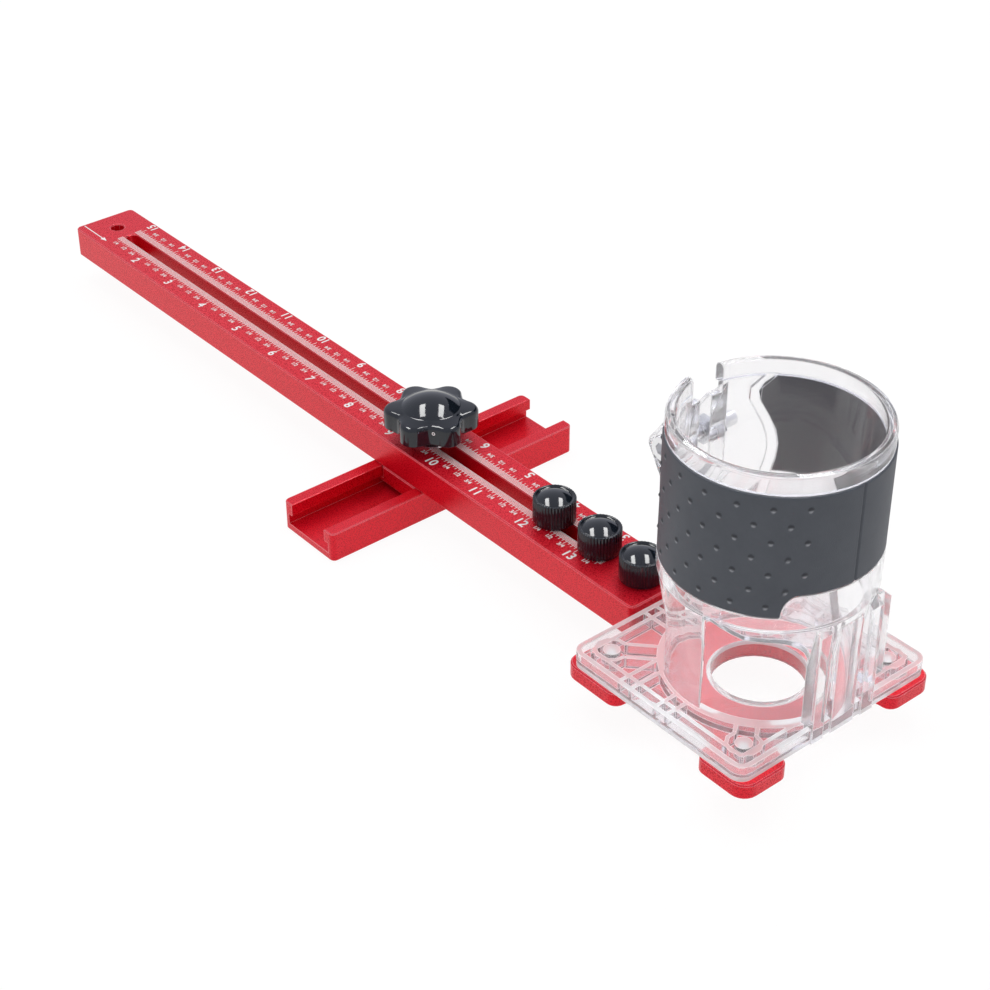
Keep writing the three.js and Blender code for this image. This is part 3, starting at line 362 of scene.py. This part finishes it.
def dress_frame(finishes):
    """Gives each CAD node its finish and smooth shading."""
    group = shaded_by_angle()
    for name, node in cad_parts.items():
        node.data.materials.clear()
        node.data.materials.append(finishes[name])
        node.modifiers.new("smooth", "NODES").node_group = group
        weighted = node.modifiers.new("weighted", "WEIGHTED_NORMAL")
        weighted.keep_sharp = True


# Shader nodes

def feed(tree, node, inputs):
    """Links each of a node's inputs to a socket, or sets it to a value."""
    for key, value in inputs.items():
        if isinstance(value, bpy.types.NodeSocket):
            tree.links.new(value, node.inputs[key])
        else:
            node.inputs[key].default_value = value


def add(tree, kind, inputs=None, **settings):
    """A new shader node with its settings and inputs."""
    made = tree.nodes.new("ShaderNode" + kind)
    for key, value in settings.items():
        setattr(made, key, value)
    feed(tree, made, inputs or {})
    return made


def maths(tree, operation, *values):
    return add(tree, "Math", dict(enumerate(values)), operation=operation).outputs["Value"]


def vector_maths(tree, operation, *values):
    return add(tree, "VectorMath", dict(enumerate(values)), operation=operation).outputs


def mapped(tree, value, low, high, start=0.0, end=1.0):
    """Moves a value from the range between start and end to the one between low and high."""
    ends = {"Value": value, "From Min": start, "From Max": end, "To Min": low, "To Max": high}
    return add(tree, "MapRange", ends).outputs["Result"]


def mixed_tone(tree, share, first, second):
    """A colour between two others."""
    colours = {"Factor": share, "A": first, "B": second}
    return add(tree, "Mix", colours, data_type="RGBA").outputs["Result"]


def grey(value):
    return (value, value, value, 1)


def new_material(name):
    """A new material, its node tree and its shader."""
    material = bpy.data.materials.new(name)
    material.use_nodes = True
    return material, material.node_tree, material.node_tree.nodes["Principled BSDF"]


# Materials

def edges_of(tree, width):
    """A mask that is 1 along the edges of a node's faces and 0 away from them."""
    rounded = add(tree, "Bevel", {"Radius": width * MM}, samples=EDGE_SAMPLES).outputs["Normal"]
    flat = add(tree, "NewGeometry").outputs["Normal"]
    alike = vector_maths(tree, "DOT_PRODUCT", rounded, flat)["Value"]
    return mapped(tree, maths(tree, "ABSOLUTE", alike), 0.0, 1.0, EDGE_START, EDGE_FULL)


def toned(tree, colour, mask, tone, share):
    """Mixes a tone into a colour along a mask."""
    return mixed_tone(tree, mapped(tree, mask, 0.0, share), colour, (*tone, 1))


def surface(name, dark, light, patch, grain, depth, roughness, spread=GLOSS_SPREAD, edge=None, **sockets):
    """A finish whose colour drifts between two tones in patches, with a fine grain in roughness
    and relief. Patch and grain are the noises' scales, and an edge, a painted highlight along the
    faces' edges, has a width, a tone and a share."""
    material, tree, shader = new_material(name)
    place = add(tree, "TexCoord").outputs["Object"]
    patches = add(tree, "TexNoise", {
        "Vector": place, "Scale": patch, "Detail": PATCH_DETAIL, "Roughness": PATCH_ROUGHNESS})
    grains = add(tree, "TexNoise", {"Vector": place, "Scale": grain, "Detail": GRAIN_DETAIL})
    ramp = add(tree, "ValToRGB", {"Fac": patches.outputs["Fac"]})
    for element, share, tone in zip(ramp.color_ramp.elements, TONE_SHARES, (dark, light)):
        element.position = share
        element.color = (*tone, 1)
    colour = ramp.outputs["Color"]
    # The edge is a painted highlight: a paler tone mixed in along the faces' edges.
    if edge:
        width, tone, share = edge
        colour = toned(tree, colour, edges_of(tree, width), tone, share)
    height = grains.outputs["Fac"]
    relief = add(tree, "Bump", {"Strength": depth, "Distance": RELIEF * MM, "Height": height})
    feed(tree, shader, {
        "Base Color": colour,
        "Roughness": mapped(tree, height, roughness - spread, roughness + spread),
        "Normal": relief.outputs["Normal"],
    })
    feed(tree, shader, sockets)
    return material


def level_zone(tree, height, reach, level, slack, share):
    """A mask for faces near a height of the jig whose normal's upright part is near a level."""
    place = add(tree, "TexCoord").outputs["Object"]
    normal = add(tree, "NewGeometry").outputs["Normal"]
    up = add(tree, "SeparateXYZ", {"Vector": place}).outputs["Z"]
    facing = add(tree, "SeparateXYZ", {"Vector": normal}).outputs["Z"]
    near = maths(tree, "COMPARE", up, spot(0, 0, height).z, reach * MM)
    turned = maths(tree, "COMPARE", maths(tree, "ABSOLUTE", facing), level, slack)
    return maths(tree, "MULTIPLY", turned, maths(tree, "MULTIPLY", near, share))


def outside_of(tree, radius):
    """1 farther from the router's axis than a radius, and 0 nearer."""
    centre = spot(BAR_LENGTH + ROUTER_GAP, 0, 0)
    place = add(tree, "TexCoord").outputs["Object"]
    flat = vector_maths(tree, "MULTIPLY", place, (1, 1, 0))["Vector"]
    away = vector_maths(tree, "DISTANCE", flat, (centre.x, centre.y, 0))["Value"]
    return maths(tree, "GREATER_THAN", away, radius * MM)


def clear_plastic():
    """Moulded clear plastic with a painted highlight that makes its edges, rib tops, floor and lower band
    whiter and less clear. It casts no shadow of its own.
    """
    material = surface("clear_plastic", dark=(0.985, 0.975, 0.99), light=(1.0, 0.995, 1.0), patch=60.0,
                       grain=900.0, depth=0.01, roughness=0.02, spread=0.01, IOR=1.42)
    tree = material.node_tree
    shader = tree.nodes["Principled BSDF"]
    # white is the mask of the painted highlight, along edges and in the sole's zones.
    white = maths(tree, "MULTIPLY", edges_of(tree, CLEAR_EDGE_HIGHLIGHT), outside_of(tree, CLEAR_INNER))
    for zone in HIGHLIGHT_ZONES:
        white = maths(tree, "MAXIMUM", white, level_zone(tree, *zone))
    feed(tree, shader, {
        "Transmission Weight": mapped(tree, white, CLEAR_TRANSMISSION, HIGHLIGHT_TRANSMISSION),
        "Alpha": mapped(tree, white, CLEAR_ALPHA, HIGHLIGHT_ALPHA),
    })
    shadow = add(tree, "LightPath").outputs["Is Shadow Ray"]
    clear = add(tree, "BsdfTransparent").outputs["BSDF"]
    mixed = add(tree, "MixShader", {"Fac": shadow, 1: shader.outputs["BSDF"], 2: clear})
    feed(tree, tree.nodes["Material Output"], {"Surface": mixed.outputs["Shader"]})
    return material


def rubber():
    """Matt rubber, with painted shade on the upper side of each bump and on the grip's inside, and a
    painted highlight under each bump.
    """
    material = surface("grip_rubber", dark=(0.05, 0.056, 0.07), light=(0.068, 0.076, 0.092), patch=45.0,
                       grain=3200.0, depth=0.3, roughness=0.55)
    tree = material.node_tree
    colour = tree.nodes["Color Ramp"].outputs["Color"]
    for name, (tone, share) in BUMP_PAINTED_LIGHT.items():
        shown = add(tree, "Attribute", attribute_name=name).outputs["Fac"]
        colour = toned(tree, colour, shown, tone, share)
    feed(tree, tree.nodes["Principled BSDF"], {"Base Color": colour})
    return material


# Red anodised aluminium, with a painted highlight along its edges.
RED = surface("red_anodised", dark=(0.62, 0.002, 0.014), light=(0.78, 0.006, 0.024), patch=520.0,
              grain=2600.0, depth=0.3, roughness=0.28, edge=RED_EDGE_HIGHLIGHT, Metallic=0.4, IOR=1.45)
CLEAR = clear_plastic()
RUBBER = rubber()
BLACK = surface("black_plastic", dark=(0.006, 0.009, 0.014), light=(0.009, 0.012, 0.018), patch=90.0,
                grain=1500.0, depth=0.02, roughness=0.07, spread=0.02, IOR=1.5)
STEEL = surface("steel", dark=(0.55, 0.56, 0.58), light=(0.68, 0.69, 0.7), patch=150.0,
                grain=2000.0, depth=0.15, roughness=0.24, Metallic=1.0)
BRIGHT = surface("bright_steel", dark=(0.84, 0.84, 0.85), light=(0.93, 0.93, 0.94), patch=150.0,
                 grain=2000.0, depth=0.15, roughness=0.3, Metallic=0.7)
BRASS = surface("brass", dark=(0.62, 0.42, 0.16), light=(0.72, 0.52, 0.22), patch=150.0,
                grain=2000.0, depth=0.15, roughness=0.28, Metallic=1.0)
INK = surface("white_ink", dark=(0.86, 0.82, 0.82), light=(0.95, 0.92, 0.92), patch=900.0,
              grain=3000.0, depth=0.15, roughness=0.5)


def finish_of(name):
    """The finish of a CAD node. Nuts, bolts, studs and washers are steel."""
    if name in ("ruler_bar", "router_plate", "cross_rail", "slider_plate"):
        return RED
    if name == "router_base":
        return CLEAR
    if name == "grip_sleeve":
        return RUBBER
    if name == "knob_insert":
        return BRASS
    if name.startswith(("plate_screw", "clamp_screw")):
        return BRIGHT
    if name.startswith(("star_knob", "thumb_knob")):
        return BLACK
    return STEEL


# Printed scales

def lettering(text, size):
    """The points and faces of a text, centred on the origin and facing up."""
    curve = bpy.data.curves.new("lettering", "FONT")
    curve.body = text
    curve.size = size
    curve.align_x = "CENTER"
    curve.align_y = "CENTER"
    holder = bpy.data.objects.new("lettering", curve)
    in_scene(holder)
    bpy.context.view_layer.update()
    made = bpy.data.meshes.new_from_object(holder.evaluated_get(bpy.context.evaluated_depsgraph_get()))
    points = [tuple(vertex.co) for vertex in made.vertices]
    faces = [tuple(face.vertices) for face in made.polygons]
    bpy.data.objects.remove(holder)
    bpy.data.curves.remove(curve)
    bpy.data.meshes.remove(made)
    return points, faces


class Print:
    """Flat white ink on the bar's top."""

    def __init__(self):
        self.points = []
        self.faces = []

    def shape(self, corners):
        start = len(self.points)
        self.points.extend((x, y, 0) for x, y in corners)
        self.faces.append(range(start, len(self.points)))

    def patch(self, x0, x1, y0, y1):
        low, high = min(y0, y1), max(y0, y1)
        self.shape([(x0, low), (x1, low), (x1, high), (x0, high)])

    def text(self, words, size, x, y, way):
        """Stamps the words a few times, a little apart and in layers, for bold strokes."""
        points, faces = lettering(words, size)
        for layer, (across, up) in enumerate(BOLD_STAMPS):
            start = len(self.points)
            stamp_x = x + across * size * BOLD
            stamp_y = y + up * size * BOLD
            stamp_z = layer * STAMP_RISE
            self.points.extend((stamp_x + way * px, stamp_y + way * py, stamp_z) for px, py, _ in points)
            self.faces.extend([start + corner for corner in face] for face in faces)


def tick_length(count):
    return next(length for step, length in TICK_LENGTHS.items() if count % step == 0)


def counts_between(marks, step):
    """Whole steps of the scale that lie between its ends."""
    return range(math.ceil(min(marks) / step), math.floor(max(marks) / step) + 1)


def ruler(ink, zero, way, band, side, numbers, number_place, fraction_place):
    """One scale: the band of lines along the slot, its ticks, numbers and fractions. The scale
    runs from its zero along the bar, or back with way -1, which turns its numbers round too."""
    for i in range(BAND_LINES):
        y = band + side * i * BAND_PITCH
        ink.patch(SCALE_START, SCALE_END, y, y + side * BAND_LINE)
    foot = band + side * ((BAND_LINES - 1) * BAND_PITCH + BAND_LINE)
    marks = [((x - zero) / way) * TICKS_PER_INCH / INCH for x in (SCALE_START, SCALE_END)]
    for count in counts_between(marks, 1):
        x = zero + way * count * INCH / TICKS_PER_INCH
        ink.patch(x - TICK_WIDTH / 2, x + TICK_WIDTH / 2, foot, foot + side * tick_length(count))
    for number in numbers:
        ink.text(str(number), NUMBER_SIZE, zero + way * number * INCH, number_place, way)
    quarters = len(FRACTIONS) + 1
    for count in counts_between(marks, quarters):
        words = FRACTIONS.get(count % quarters)
        if words:
            ink.text(words, FRACTION_SIZE, zero + way * count * INCH / quarters, fraction_place, way)


def arrow(ink):
    """The arrow from the bar's free end."""
    line = ARROW_LINE / 2
    head = ARROW_END - ARROW_HEAD
    low, high = ARROW_PLACE - ARROW_HEAD_HALF, ARROW_PLACE + ARROW_HEAD_HALF
    ink.patch(ARROW_START, head, ARROW_PLACE - line, ARROW_PLACE + line)
    ink.shape([(head, low), (ARROW_END, ARROW_PLACE), (head, high)])


def print_scales():
    ink = Print()
    ruler(ink, NEAR_ZERO, 1, BAND_NEAR, -1, NEAR_NUMBERS, NUMBER_NEAR, FRACTION_NEAR)
    ruler(ink, FAR_ZERO, -1, BAND_FAR, 1, FAR_NUMBERS, NUMBER_FAR, FRACTION_FAR)
    arrow(ink)
    at = (0, 0, BAR_TOP + INK_LIFT)
    piece("scale_print", ink.points, ink.faces, INK, "jig", at, smoothed=False)


# Knobs

def middle(node):
    low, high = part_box(node)
    return (Vector(low) + Vector(high)) / 2


def quarter(steps):
    """Shares along and up a rounded edge."""
    turns = [i / steps * math.pi / 2 for i in range(steps + 1)]
    return [(math.sin(turn), 1 - math.cos(turn)) for turn in turns]


def dome_levels(radius, rise):
    """Pairs of radius and height from a dome's edge to its top."""
    ball = (radius ** 2 + rise ** 2) / (2 * rise)
    widest = math.asin(radius / ball)
    turns = [widest * (1 - i / DOME_STEPS) for i in range(DOME_STEPS + 1)]
    return [(ball * math.sin(turn), ball * (math.cos(turn) - 1) + rise) for turn in turns]


def circle(radius, height, steps):
    return [around(radius, 360 * i / steps, height) for i in range(steps)]


def star_radius(angle):
    """The star knob's outline, with flat-fronted lobes and hollows between them."""
    pitch = 360 / STAR_LOBES
    off = (angle - STAR_TIP_ANGLE + pitch / 2) % pitch - pitch / 2
    fall = smooth(STAR_FLAT, STAR_VALLEY, abs(off))
    flute = math.cos(math.radians(off) * 360 / pitch * STAR_FLUTES) - 1
    return STAR_RADIUS - STAR_DEPTH * fall + STAR_FLUTE_DEPTH * flute / 2


def star_ring(inset, height, blend=0.0, radius=0.0):
    """A ring of the knob: its outline drawn in by an inset, and blended towards a circle."""
    angles = [360 * i / STAR_STEPS for i in range(STAR_STEPS)]
    return [around(lerp(star_radius(angle) - inset, radius, blend), angle, height) for angle in angles]


def fillet_levels(steepest):
    """Steps out and up from the dome's foot along the hollow round it, from its gentle rim
    inwards. Slopes are in radians."""
    steps = []
    for i in range(FILLET_STEPS + 1):
        slope = lerp(FILLET_GENTLE, steepest, i / FILLET_STEPS)
        out = FILLET_RADIUS * (math.sin(steepest) - math.sin(slope))
        up = FILLET_RADIUS * (math.cos(steepest) - math.cos(slope))
        steps.append((out, up))
    return steps


def star_body():
    """Rings from the socket's end, out under the knob and up its side."""
    inside = [(STAR_SOCKET, STAR_SOCKET_DEPTH), (STAR_SOCKET, 0), (STAR_HUB, 0), (STAR_HUB, STAR_FOOT)]
    rings = [[(0, 0, STAR_SOCKET_DEPTH)]]
    rings += [circle(radius, height, STAR_STEPS) for radius, height in inside]
    for out, up in quarter(ROUND_STEPS):
        rings.append(star_ring(STAR_FOOT_EDGE * (1 - out), STAR_FOOT + STAR_FOOT_EDGE * up))
    for out, up in quarter(ROUND_STEPS):
        rings.append(star_ring(STAR_EDGE * up, STAR_HEIGHT - STAR_EDGE * (1 - out)))
    return rings


def star_dome():
    """Rings from the knob's upper edge, through the hollow and over the dome."""
    base = STAR_HEIGHT + STAR_STEP
    steepest = math.asin(STAR_DOME * 2 * STAR_RISE / (STAR_DOME ** 2 + STAR_RISE ** 2))
    (rim_out, rim_up), *hollow = fillet_levels(steepest)
    rings = []
    for share in STAR_BLEND_SHARES:
        height = lerp(STAR_HEIGHT, base + rim_up, share)
        rings.append(star_ring(STAR_EDGE, height, share, STAR_DOME + rim_out))
    rings += [circle(STAR_DOME + out, base + up, STAR_STEPS) for out, up in hollow]
    for radius, height in dome_levels(STAR_DOME, STAR_RISE)[1:-1]:
        rings.append(circle(radius, base + height, STAR_STEPS))
    rings.append([(0, 0, base + STAR_RISE)])
    return rings


def star_knob():
    points, faces = lofted(star_body() + star_dome())
    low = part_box("star_knob")[0]
    centre = middle("knob_washer")
    at = local((centre.x, centre.y, low[2]))
    knob = piece("star_knob_shell", points, faces, BLACK, "knob_turn", at)
    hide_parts("star_knob")
    mark_lobe(at)


def mark_lobe(at):
    """The small printed ring in the hollow that faces the camera."""
    middle_angle = STAR_TIP_ANGLE - 360 / STAR_LOBES * DOT_PITCHES + DOT_TURN
    points = []
    for size in (DOT_HOLE, DOT_RADIUS):
        for across, up, _ in circle(size, 0, DOT_STEPS):
            angle = middle_angle + math.degrees(across / STAR_RADIUS)
            points.append(around(star_radius(angle) + INK_LIFT, angle, DOT_HEIGHT + up))
    faces = []
    for i in range(DOT_STEPS):
        after = (i + 1) % DOT_STEPS
        faces.append((i, after, DOT_STEPS + after, DOT_STEPS + i))
    piece("star_knob_mark", points, faces, INK, "knob_turn", at)


def thumb_ring(inset, height, ribbed=1.0):
    """A ring of the thumb knob's fine upright ribs."""
    ring = []
    for i in range(THUMB_STEPS):
        wave = (1 - math.cos(2 * math.pi * i / RIB_STEPS)) / 2
        radius = THUMB_RADIUS - inset - ribbed * THUMB_RIB_DEPTH * wave
        ring.append(around(radius, 360 * i / THUMB_STEPS, height))
    return ring


def thumb_rings():
    """Rings from the bore's end, out under the knob, up its ribs and over the dome."""
    inside = [(THUMB_BORE, THUMB_BORE_DEPTH), (THUMB_BORE, THUMB_RECESS_DEPTH),
              (THUMB_RECESS, THUMB_RECESS_DEPTH), (THUMB_RECESS, 0)]
    rings = [[(0, 0, THUMB_BORE_DEPTH)]]
    rings += [circle(radius, height, THUMB_STEPS) for radius, height in inside]
    rings += [thumb_ring(THUMB_EDGE, 0), thumb_ring(0, THUMB_EDGE)]
    for out, up in quarter(ROUND_STEPS):
        rings.append(thumb_ring(THUMB_EDGE * up, THUMB_HEIGHT - THUMB_EDGE * (1 - out), 1 - up))
    rings.append(circle(THUMB_DOME + THUMB_LEDGE, THUMB_HEIGHT, THUMB_STEPS))
    for radius, height in dome_levels(THUMB_DOME, THUMB_RISE)[:-1]:
        rings.append(circle(radius, THUMB_HEIGHT - THUMB_SINK + height, THUMB_STEPS))
    rings.append([(0, 0, THUMB_HEIGHT - THUMB_SINK + THUMB_RISE)])
    return rings


def thumb_knob(index):
    node = f"thumb_knob_{index}"
    points, faces = lofted(thumb_rings())
    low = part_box(node)[0]
    centre = middle(node)
    at = local((centre.x, centre.y, low[2]))
    knob = piece(f"thumb_cap_{index}", points, faces, BLACK, f"thumb_turn_{index}", at)
    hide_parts(node)


# Rubber grip

def grip_end(height):
    """The angle of the grip's curved end at a height, on either side of the gap."""
    share = min(max((height - GRIP_STEP) / (GRIP_TOP - GRIP_STEP), 0), 1)
    i = max(1, next(k for k, value in enumerate(GRIP_SHARES) if value >= share))
    part = (share - GRIP_SHARES[i - 1]) / (GRIP_SHARES[i] - GRIP_SHARES[i - 1])
    return lerp(GRIP_ENDS[i - 1], GRIP_ENDS[i], part)


def climb(angle):
    """The share of the grip's step reached at an angle: steep at first, then rounding off."""
    left = 1 - min(max((angle - STEP_FROM) / (STEP_TO - STEP_FROM), 0), 1)
    return math.sqrt(1 - left * left)


def grip_place(share, rise):
    """The angle and height at a share of the way round the grip and up it."""
    start = -grip_end(lerp(GRIP_LOW, GRIP_TOP, rise))
    end = grip_end(lerp(GRIP_STEP, GRIP_TOP, rise))
    angle = lerp(start, end, share)
    foot = lerp(GRIP_LOW, GRIP_STEP, climb(angle)) + GRIP_GAP
    return angle, lerp(foot, GRIP_TOP, rise)


def bump_places():
    """Angles and heights of the bumps, in staggered columns round to the left."""
    places = []
    for column in range(BUMP_COLUMNS):
        angle = BUMP_FIRST - BUMP_STEP * column
        shift = BUMP_PITCH / 2 if column % 2 else 0
        for row in range(BUMP_ROWS):
            height = BUMP_TOP - shift - BUMP_PITCH * row
            if height > GRIP_STEP or (angle < BUMP_LIMIT and height > GRIP_LOW + BUMP_RADIUS * 2):
                places.append((angle - 360, height))
    return places


def grip_surface(angle, height, bumps):
    """The grip's radius at a place, and how much of the painted shade on a bump's top and of the painted
    highlight at its foot it shows.
    """
    radius, top, foot = GRIP_OUTER, 0.0, 0.0
    for bump_angle, bump_height in bumps:
        across = math.radians(angle - bump_angle) * GRIP_OUTER / BUMP_RADIUS
        up = (height - bump_height) / BUMP_RADIUS
        away = math.hypot(across, up)
        if away < 1:
            radius += BUMP_RISE * (1 - smooth(0, 1, away))
            # Painted shade on the bump's upper side and a painted highlight below it.
            top = (1 - smooth(*TOP_RIM_SHARES, away)) * smooth(*TOP_LINE_SHARES, up)
            foot = 1 - smooth(*FOOT_RIM_SHARES, math.hypot(across, up + FOOT_DROP_SHARE))
    seam = abs(angle - (SEAM_ANGLE - 360)) * math.radians(1) * GRIP_OUTER / SEAM_HALF
    if seam < 1:
        radius -= SEAM_DEPTH * (1 - seam)
    return radius, top, foot


def grip_points():
    """Points of the grip's inner skin, then of its outer one with drawn-in edges, and how much painted
    shade on a bump's top and painted highlight at its foot each point shows."""
    bumps = bump_places()
    points, shaded_tops, lit_feet = [], [], []
    for inner in (True, False):
        for j in range(GRIP_ROWS + 1):
            for i in range(GRIP_COLUMNS + 1):
                angle, height = grip_place(i / GRIP_COLUMNS, j / GRIP_ROWS)
                # The inner skin gets the painted shade all over.
                radius, top, foot = GRIP_INNER, INSIDE_PAINTED_SHADE, 0
                if not inner:
                    radius, top, foot = grip_surface(angle, height, bumps)
                    radius -= GRIP_EDGE if i in (0, GRIP_COLUMNS) or j in (0, GRIP_ROWS) else 0
                points.append(around(radius, angle, height))
                shaded_tops.append(top)
                lit_feet.append(foot)
    return points, shaded_tops, lit_feet


def grip_faces():
    """Faces of both skins and of the edges between them."""
    width = GRIP_COLUMNS + 1
    layer = width * (GRIP_ROWS + 1)
    faces = []
    for j in range(GRIP_ROWS):
        for i in range(GRIP_COLUMNS):
            a = j * width + i
            faces.append((a, a + width, a + width + 1, a + 1))
            faces.append((layer + a, layer + a + 1, layer + a + width + 1, layer + a + width))
        left, right = j * width, j * width + GRIP_COLUMNS
        faces.append((left, layer + left, layer + left + width, left + width))
        faces.append((right, right + width, layer + right + width, layer + right))
    for i in range(GRIP_COLUMNS):
        top = GRIP_ROWS * width + i
        faces.append((i, i + 1, layer + i + 1, layer + i))
        faces.append((top, layer + top, layer + top + 1, top + 1))
    return faces


def rubber_grip():
    """The grip as a fine shell, with its bumps and seam, inside the CAD grip's outline."""
    points, shaded_tops, lit_feet = grip_points()
    at = (BAR_LENGTH + ROUTER_GAP, 0, 0)
    grip = piece("grip_rubber", points, grip_faces(), RUBBER, "jig", at)
    for name, values in zip(BUMP_PAINTED_LIGHT, (shaded_tops, lit_feet)):
        grip.data.attributes.new(name, "FLOAT", "POINT").data.foreach_set("value", values)
    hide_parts("grip_sleeve")


# Studio

def camera():
    """The photo's camera. Returns its level sideways direction and the level one ahead of it."""
    lens = bpy.data.cameras.new("camera")
    lens.sensor_width = SENSOR
    lens.lens = CAMERA_FOCAL_PIXELS * SENSOR / PHOTO_SIDE
    made = bpy.data.objects.new("camera", lens)
    in_scene(made)
    cos, sin = math.cos, math.sin
    level = Vector((cos(CAMERA_YAW), sin(CAMERA_YAW), 0))
    along = Vector((-sin(CAMERA_YAW), cos(CAMERA_YAW), 0))
    ahead = along * cos(CAMERA_PITCH) + Vector((0, 0, sin(CAMERA_PITCH)))
    upright = level.cross(ahead)
    right = level * cos(CAMERA_ROLL) + upright * sin(CAMERA_ROLL)
    up = upright * cos(CAMERA_ROLL) - level * sin(CAMERA_ROLL)
    turn = Matrix((right, up, -ahead)).transposed().to_4x4()
    made.matrix_world = Matrix.Translation(spot(*CAMERA_PLACE)) @ turn
    bpy.context.scene.camera = made
    return level, along


def overhead(made, level, along, across, ahead):
    """Hangs a lamp or panel over the jig, facing down, with its length running away from the
    camera, so far across and ahead of the point that the lamps aim at."""
    in_scene(made)
    above = Vector((0, 0, LAMP_HEIGHT * MM))
    place = spot(*LAMP_AIM) + level * (across * MM) + along * (ahead * MM) + above
    turn = Matrix((level, along, Vector((0, 0, 1)))).transposed().to_4x4()
    made.matrix_world = Matrix.Translation(place) @ turn
    made.visible_camera = False
    made.visible_transmission = False


def sheet(name, width, length, height, material):
    """A flat rectangle that faces up."""
    x, y, z = width / 2 * MM, length / 2 * MM, height * MM
    mesh = bpy.data.meshes.new(name)
    mesh.from_pydata([(-x, -y, z), (x, -y, z), (x, y, z), (-x, y, z)], [], [(0, 1, 2, 3)])
    mesh.materials.append(material)
    return bpy.data.objects.new(name, mesh)


def panel(name, level, along, across, ahead, width, length, strength):
    """A flat panel that only glossy surfaces see."""
    material, tree, shader = new_material(name)
    feed(tree, shader, {
        "Base Color": grey(0),
        "Specular IOR Level": 0,
        "Emission Color": WHITE,
        "Emission Strength": strength,
    })
    made = sheet(name, width, length, 0, material)
    overhead(made, level, along, across, ahead)
    made.visible_diffuse = False
    made.visible_shadow = False


def lamps(level, along):
    """The lamps light the jig, and the panels in their place are what it mirrors."""
    for name, side in (("left", -1), ("right", 1)):
        across = side * LAMP_SIDE
        light = bpy.data.lights.new(f"lamp_{name}", "AREA")
        light.shape = "RECTANGLE"
        light.size = LAMP_WIDTH * MM
        light.size_y = LAMP_LENGTH * MM
        light.energy = LAMP_POWER
        made = bpy.data.objects.new(f"lamp_{name}", light)
        overhead(made, level, along, across, LAMP_AHEAD)
        made.visible_glossy = False
        panel(f"panel_{name}", level, along, across, LAMP_AHEAD, LAMP_WIDTH, LAMP_LENGTH, PANEL_LIGHT)
    panel("dark_card", level, along, CARD_SIDE, CARD_AHEAD, CARD_WIDTH, CARD_LENGTH, 0)


def room():
    """A white surround to look at, a faintly blue grey in mirrors, and a plain grey for the light
    on the object."""
    world = bpy.data.worlds.new("room")
    bpy.context.scene.world = world
    world.use_nodes = True
    tree = world.node_tree
    rays = add(tree, "LightPath").outputs
    through = maths(tree, "MAXIMUM", rays["Is Camera Ray"], rays["Is Transmission Ray"])
    mirrored = mapped(tree, rays["Is Glossy Ray"], ROOM_LIGHT, ROOM_MIRRORED)
    strength = add(tree, "Mix", {"Factor": through, "A": mirrored, "B": 1})
    feed(tree, tree.nodes["Background"], {
        "Color": mixed_tone(tree, rays["Is Glossy Ray"], WHITE, MIRRORED_TINT),
        "Strength": strength.outputs["Result"],
    })


def floor():
    """A pale floor that shows white and keeps a faint shadow. Camera, glossy and transmission
    rays see its glow, and the object is lit by its pale side."""
    material, tree, shader = new_material("floor")
    rays = add(tree, "LightPath").outputs
    first = maths(tree, "MAXIMUM", rays["Is Camera Ray"], rays["Is Glossy Ray"])
    seen = maths(tree, "MAXIMUM", first, rays["Is Transmission Ray"])
    feed(tree, shader, {
        "Base Color": mixed_tone(tree, seen, grey(FLOOR_ALBEDO), grey(FLOOR_SHADOWED)),
        "Roughness": 1,
        "Specular IOR Level": 0,
        "Emission Color": WHITE,
        "Emission Strength": mapped(tree, seen, 0.0, FLOOR_GLOW),
    })
    made = sheet("floor", FLOOR_SIDE, FLOOR_SIDE, -FLOOR_DROP, material)
    in_scene(made)


bpy.context.scene.view_settings.view_transform = "Standard"
lamps(*camera())
room()
floor()
dress_frame({name: finish_of(name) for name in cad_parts})
print_scales()
star_knob()
for number in THUMB_KNOBS:
    thumb_knob(number)
rubber_grip()
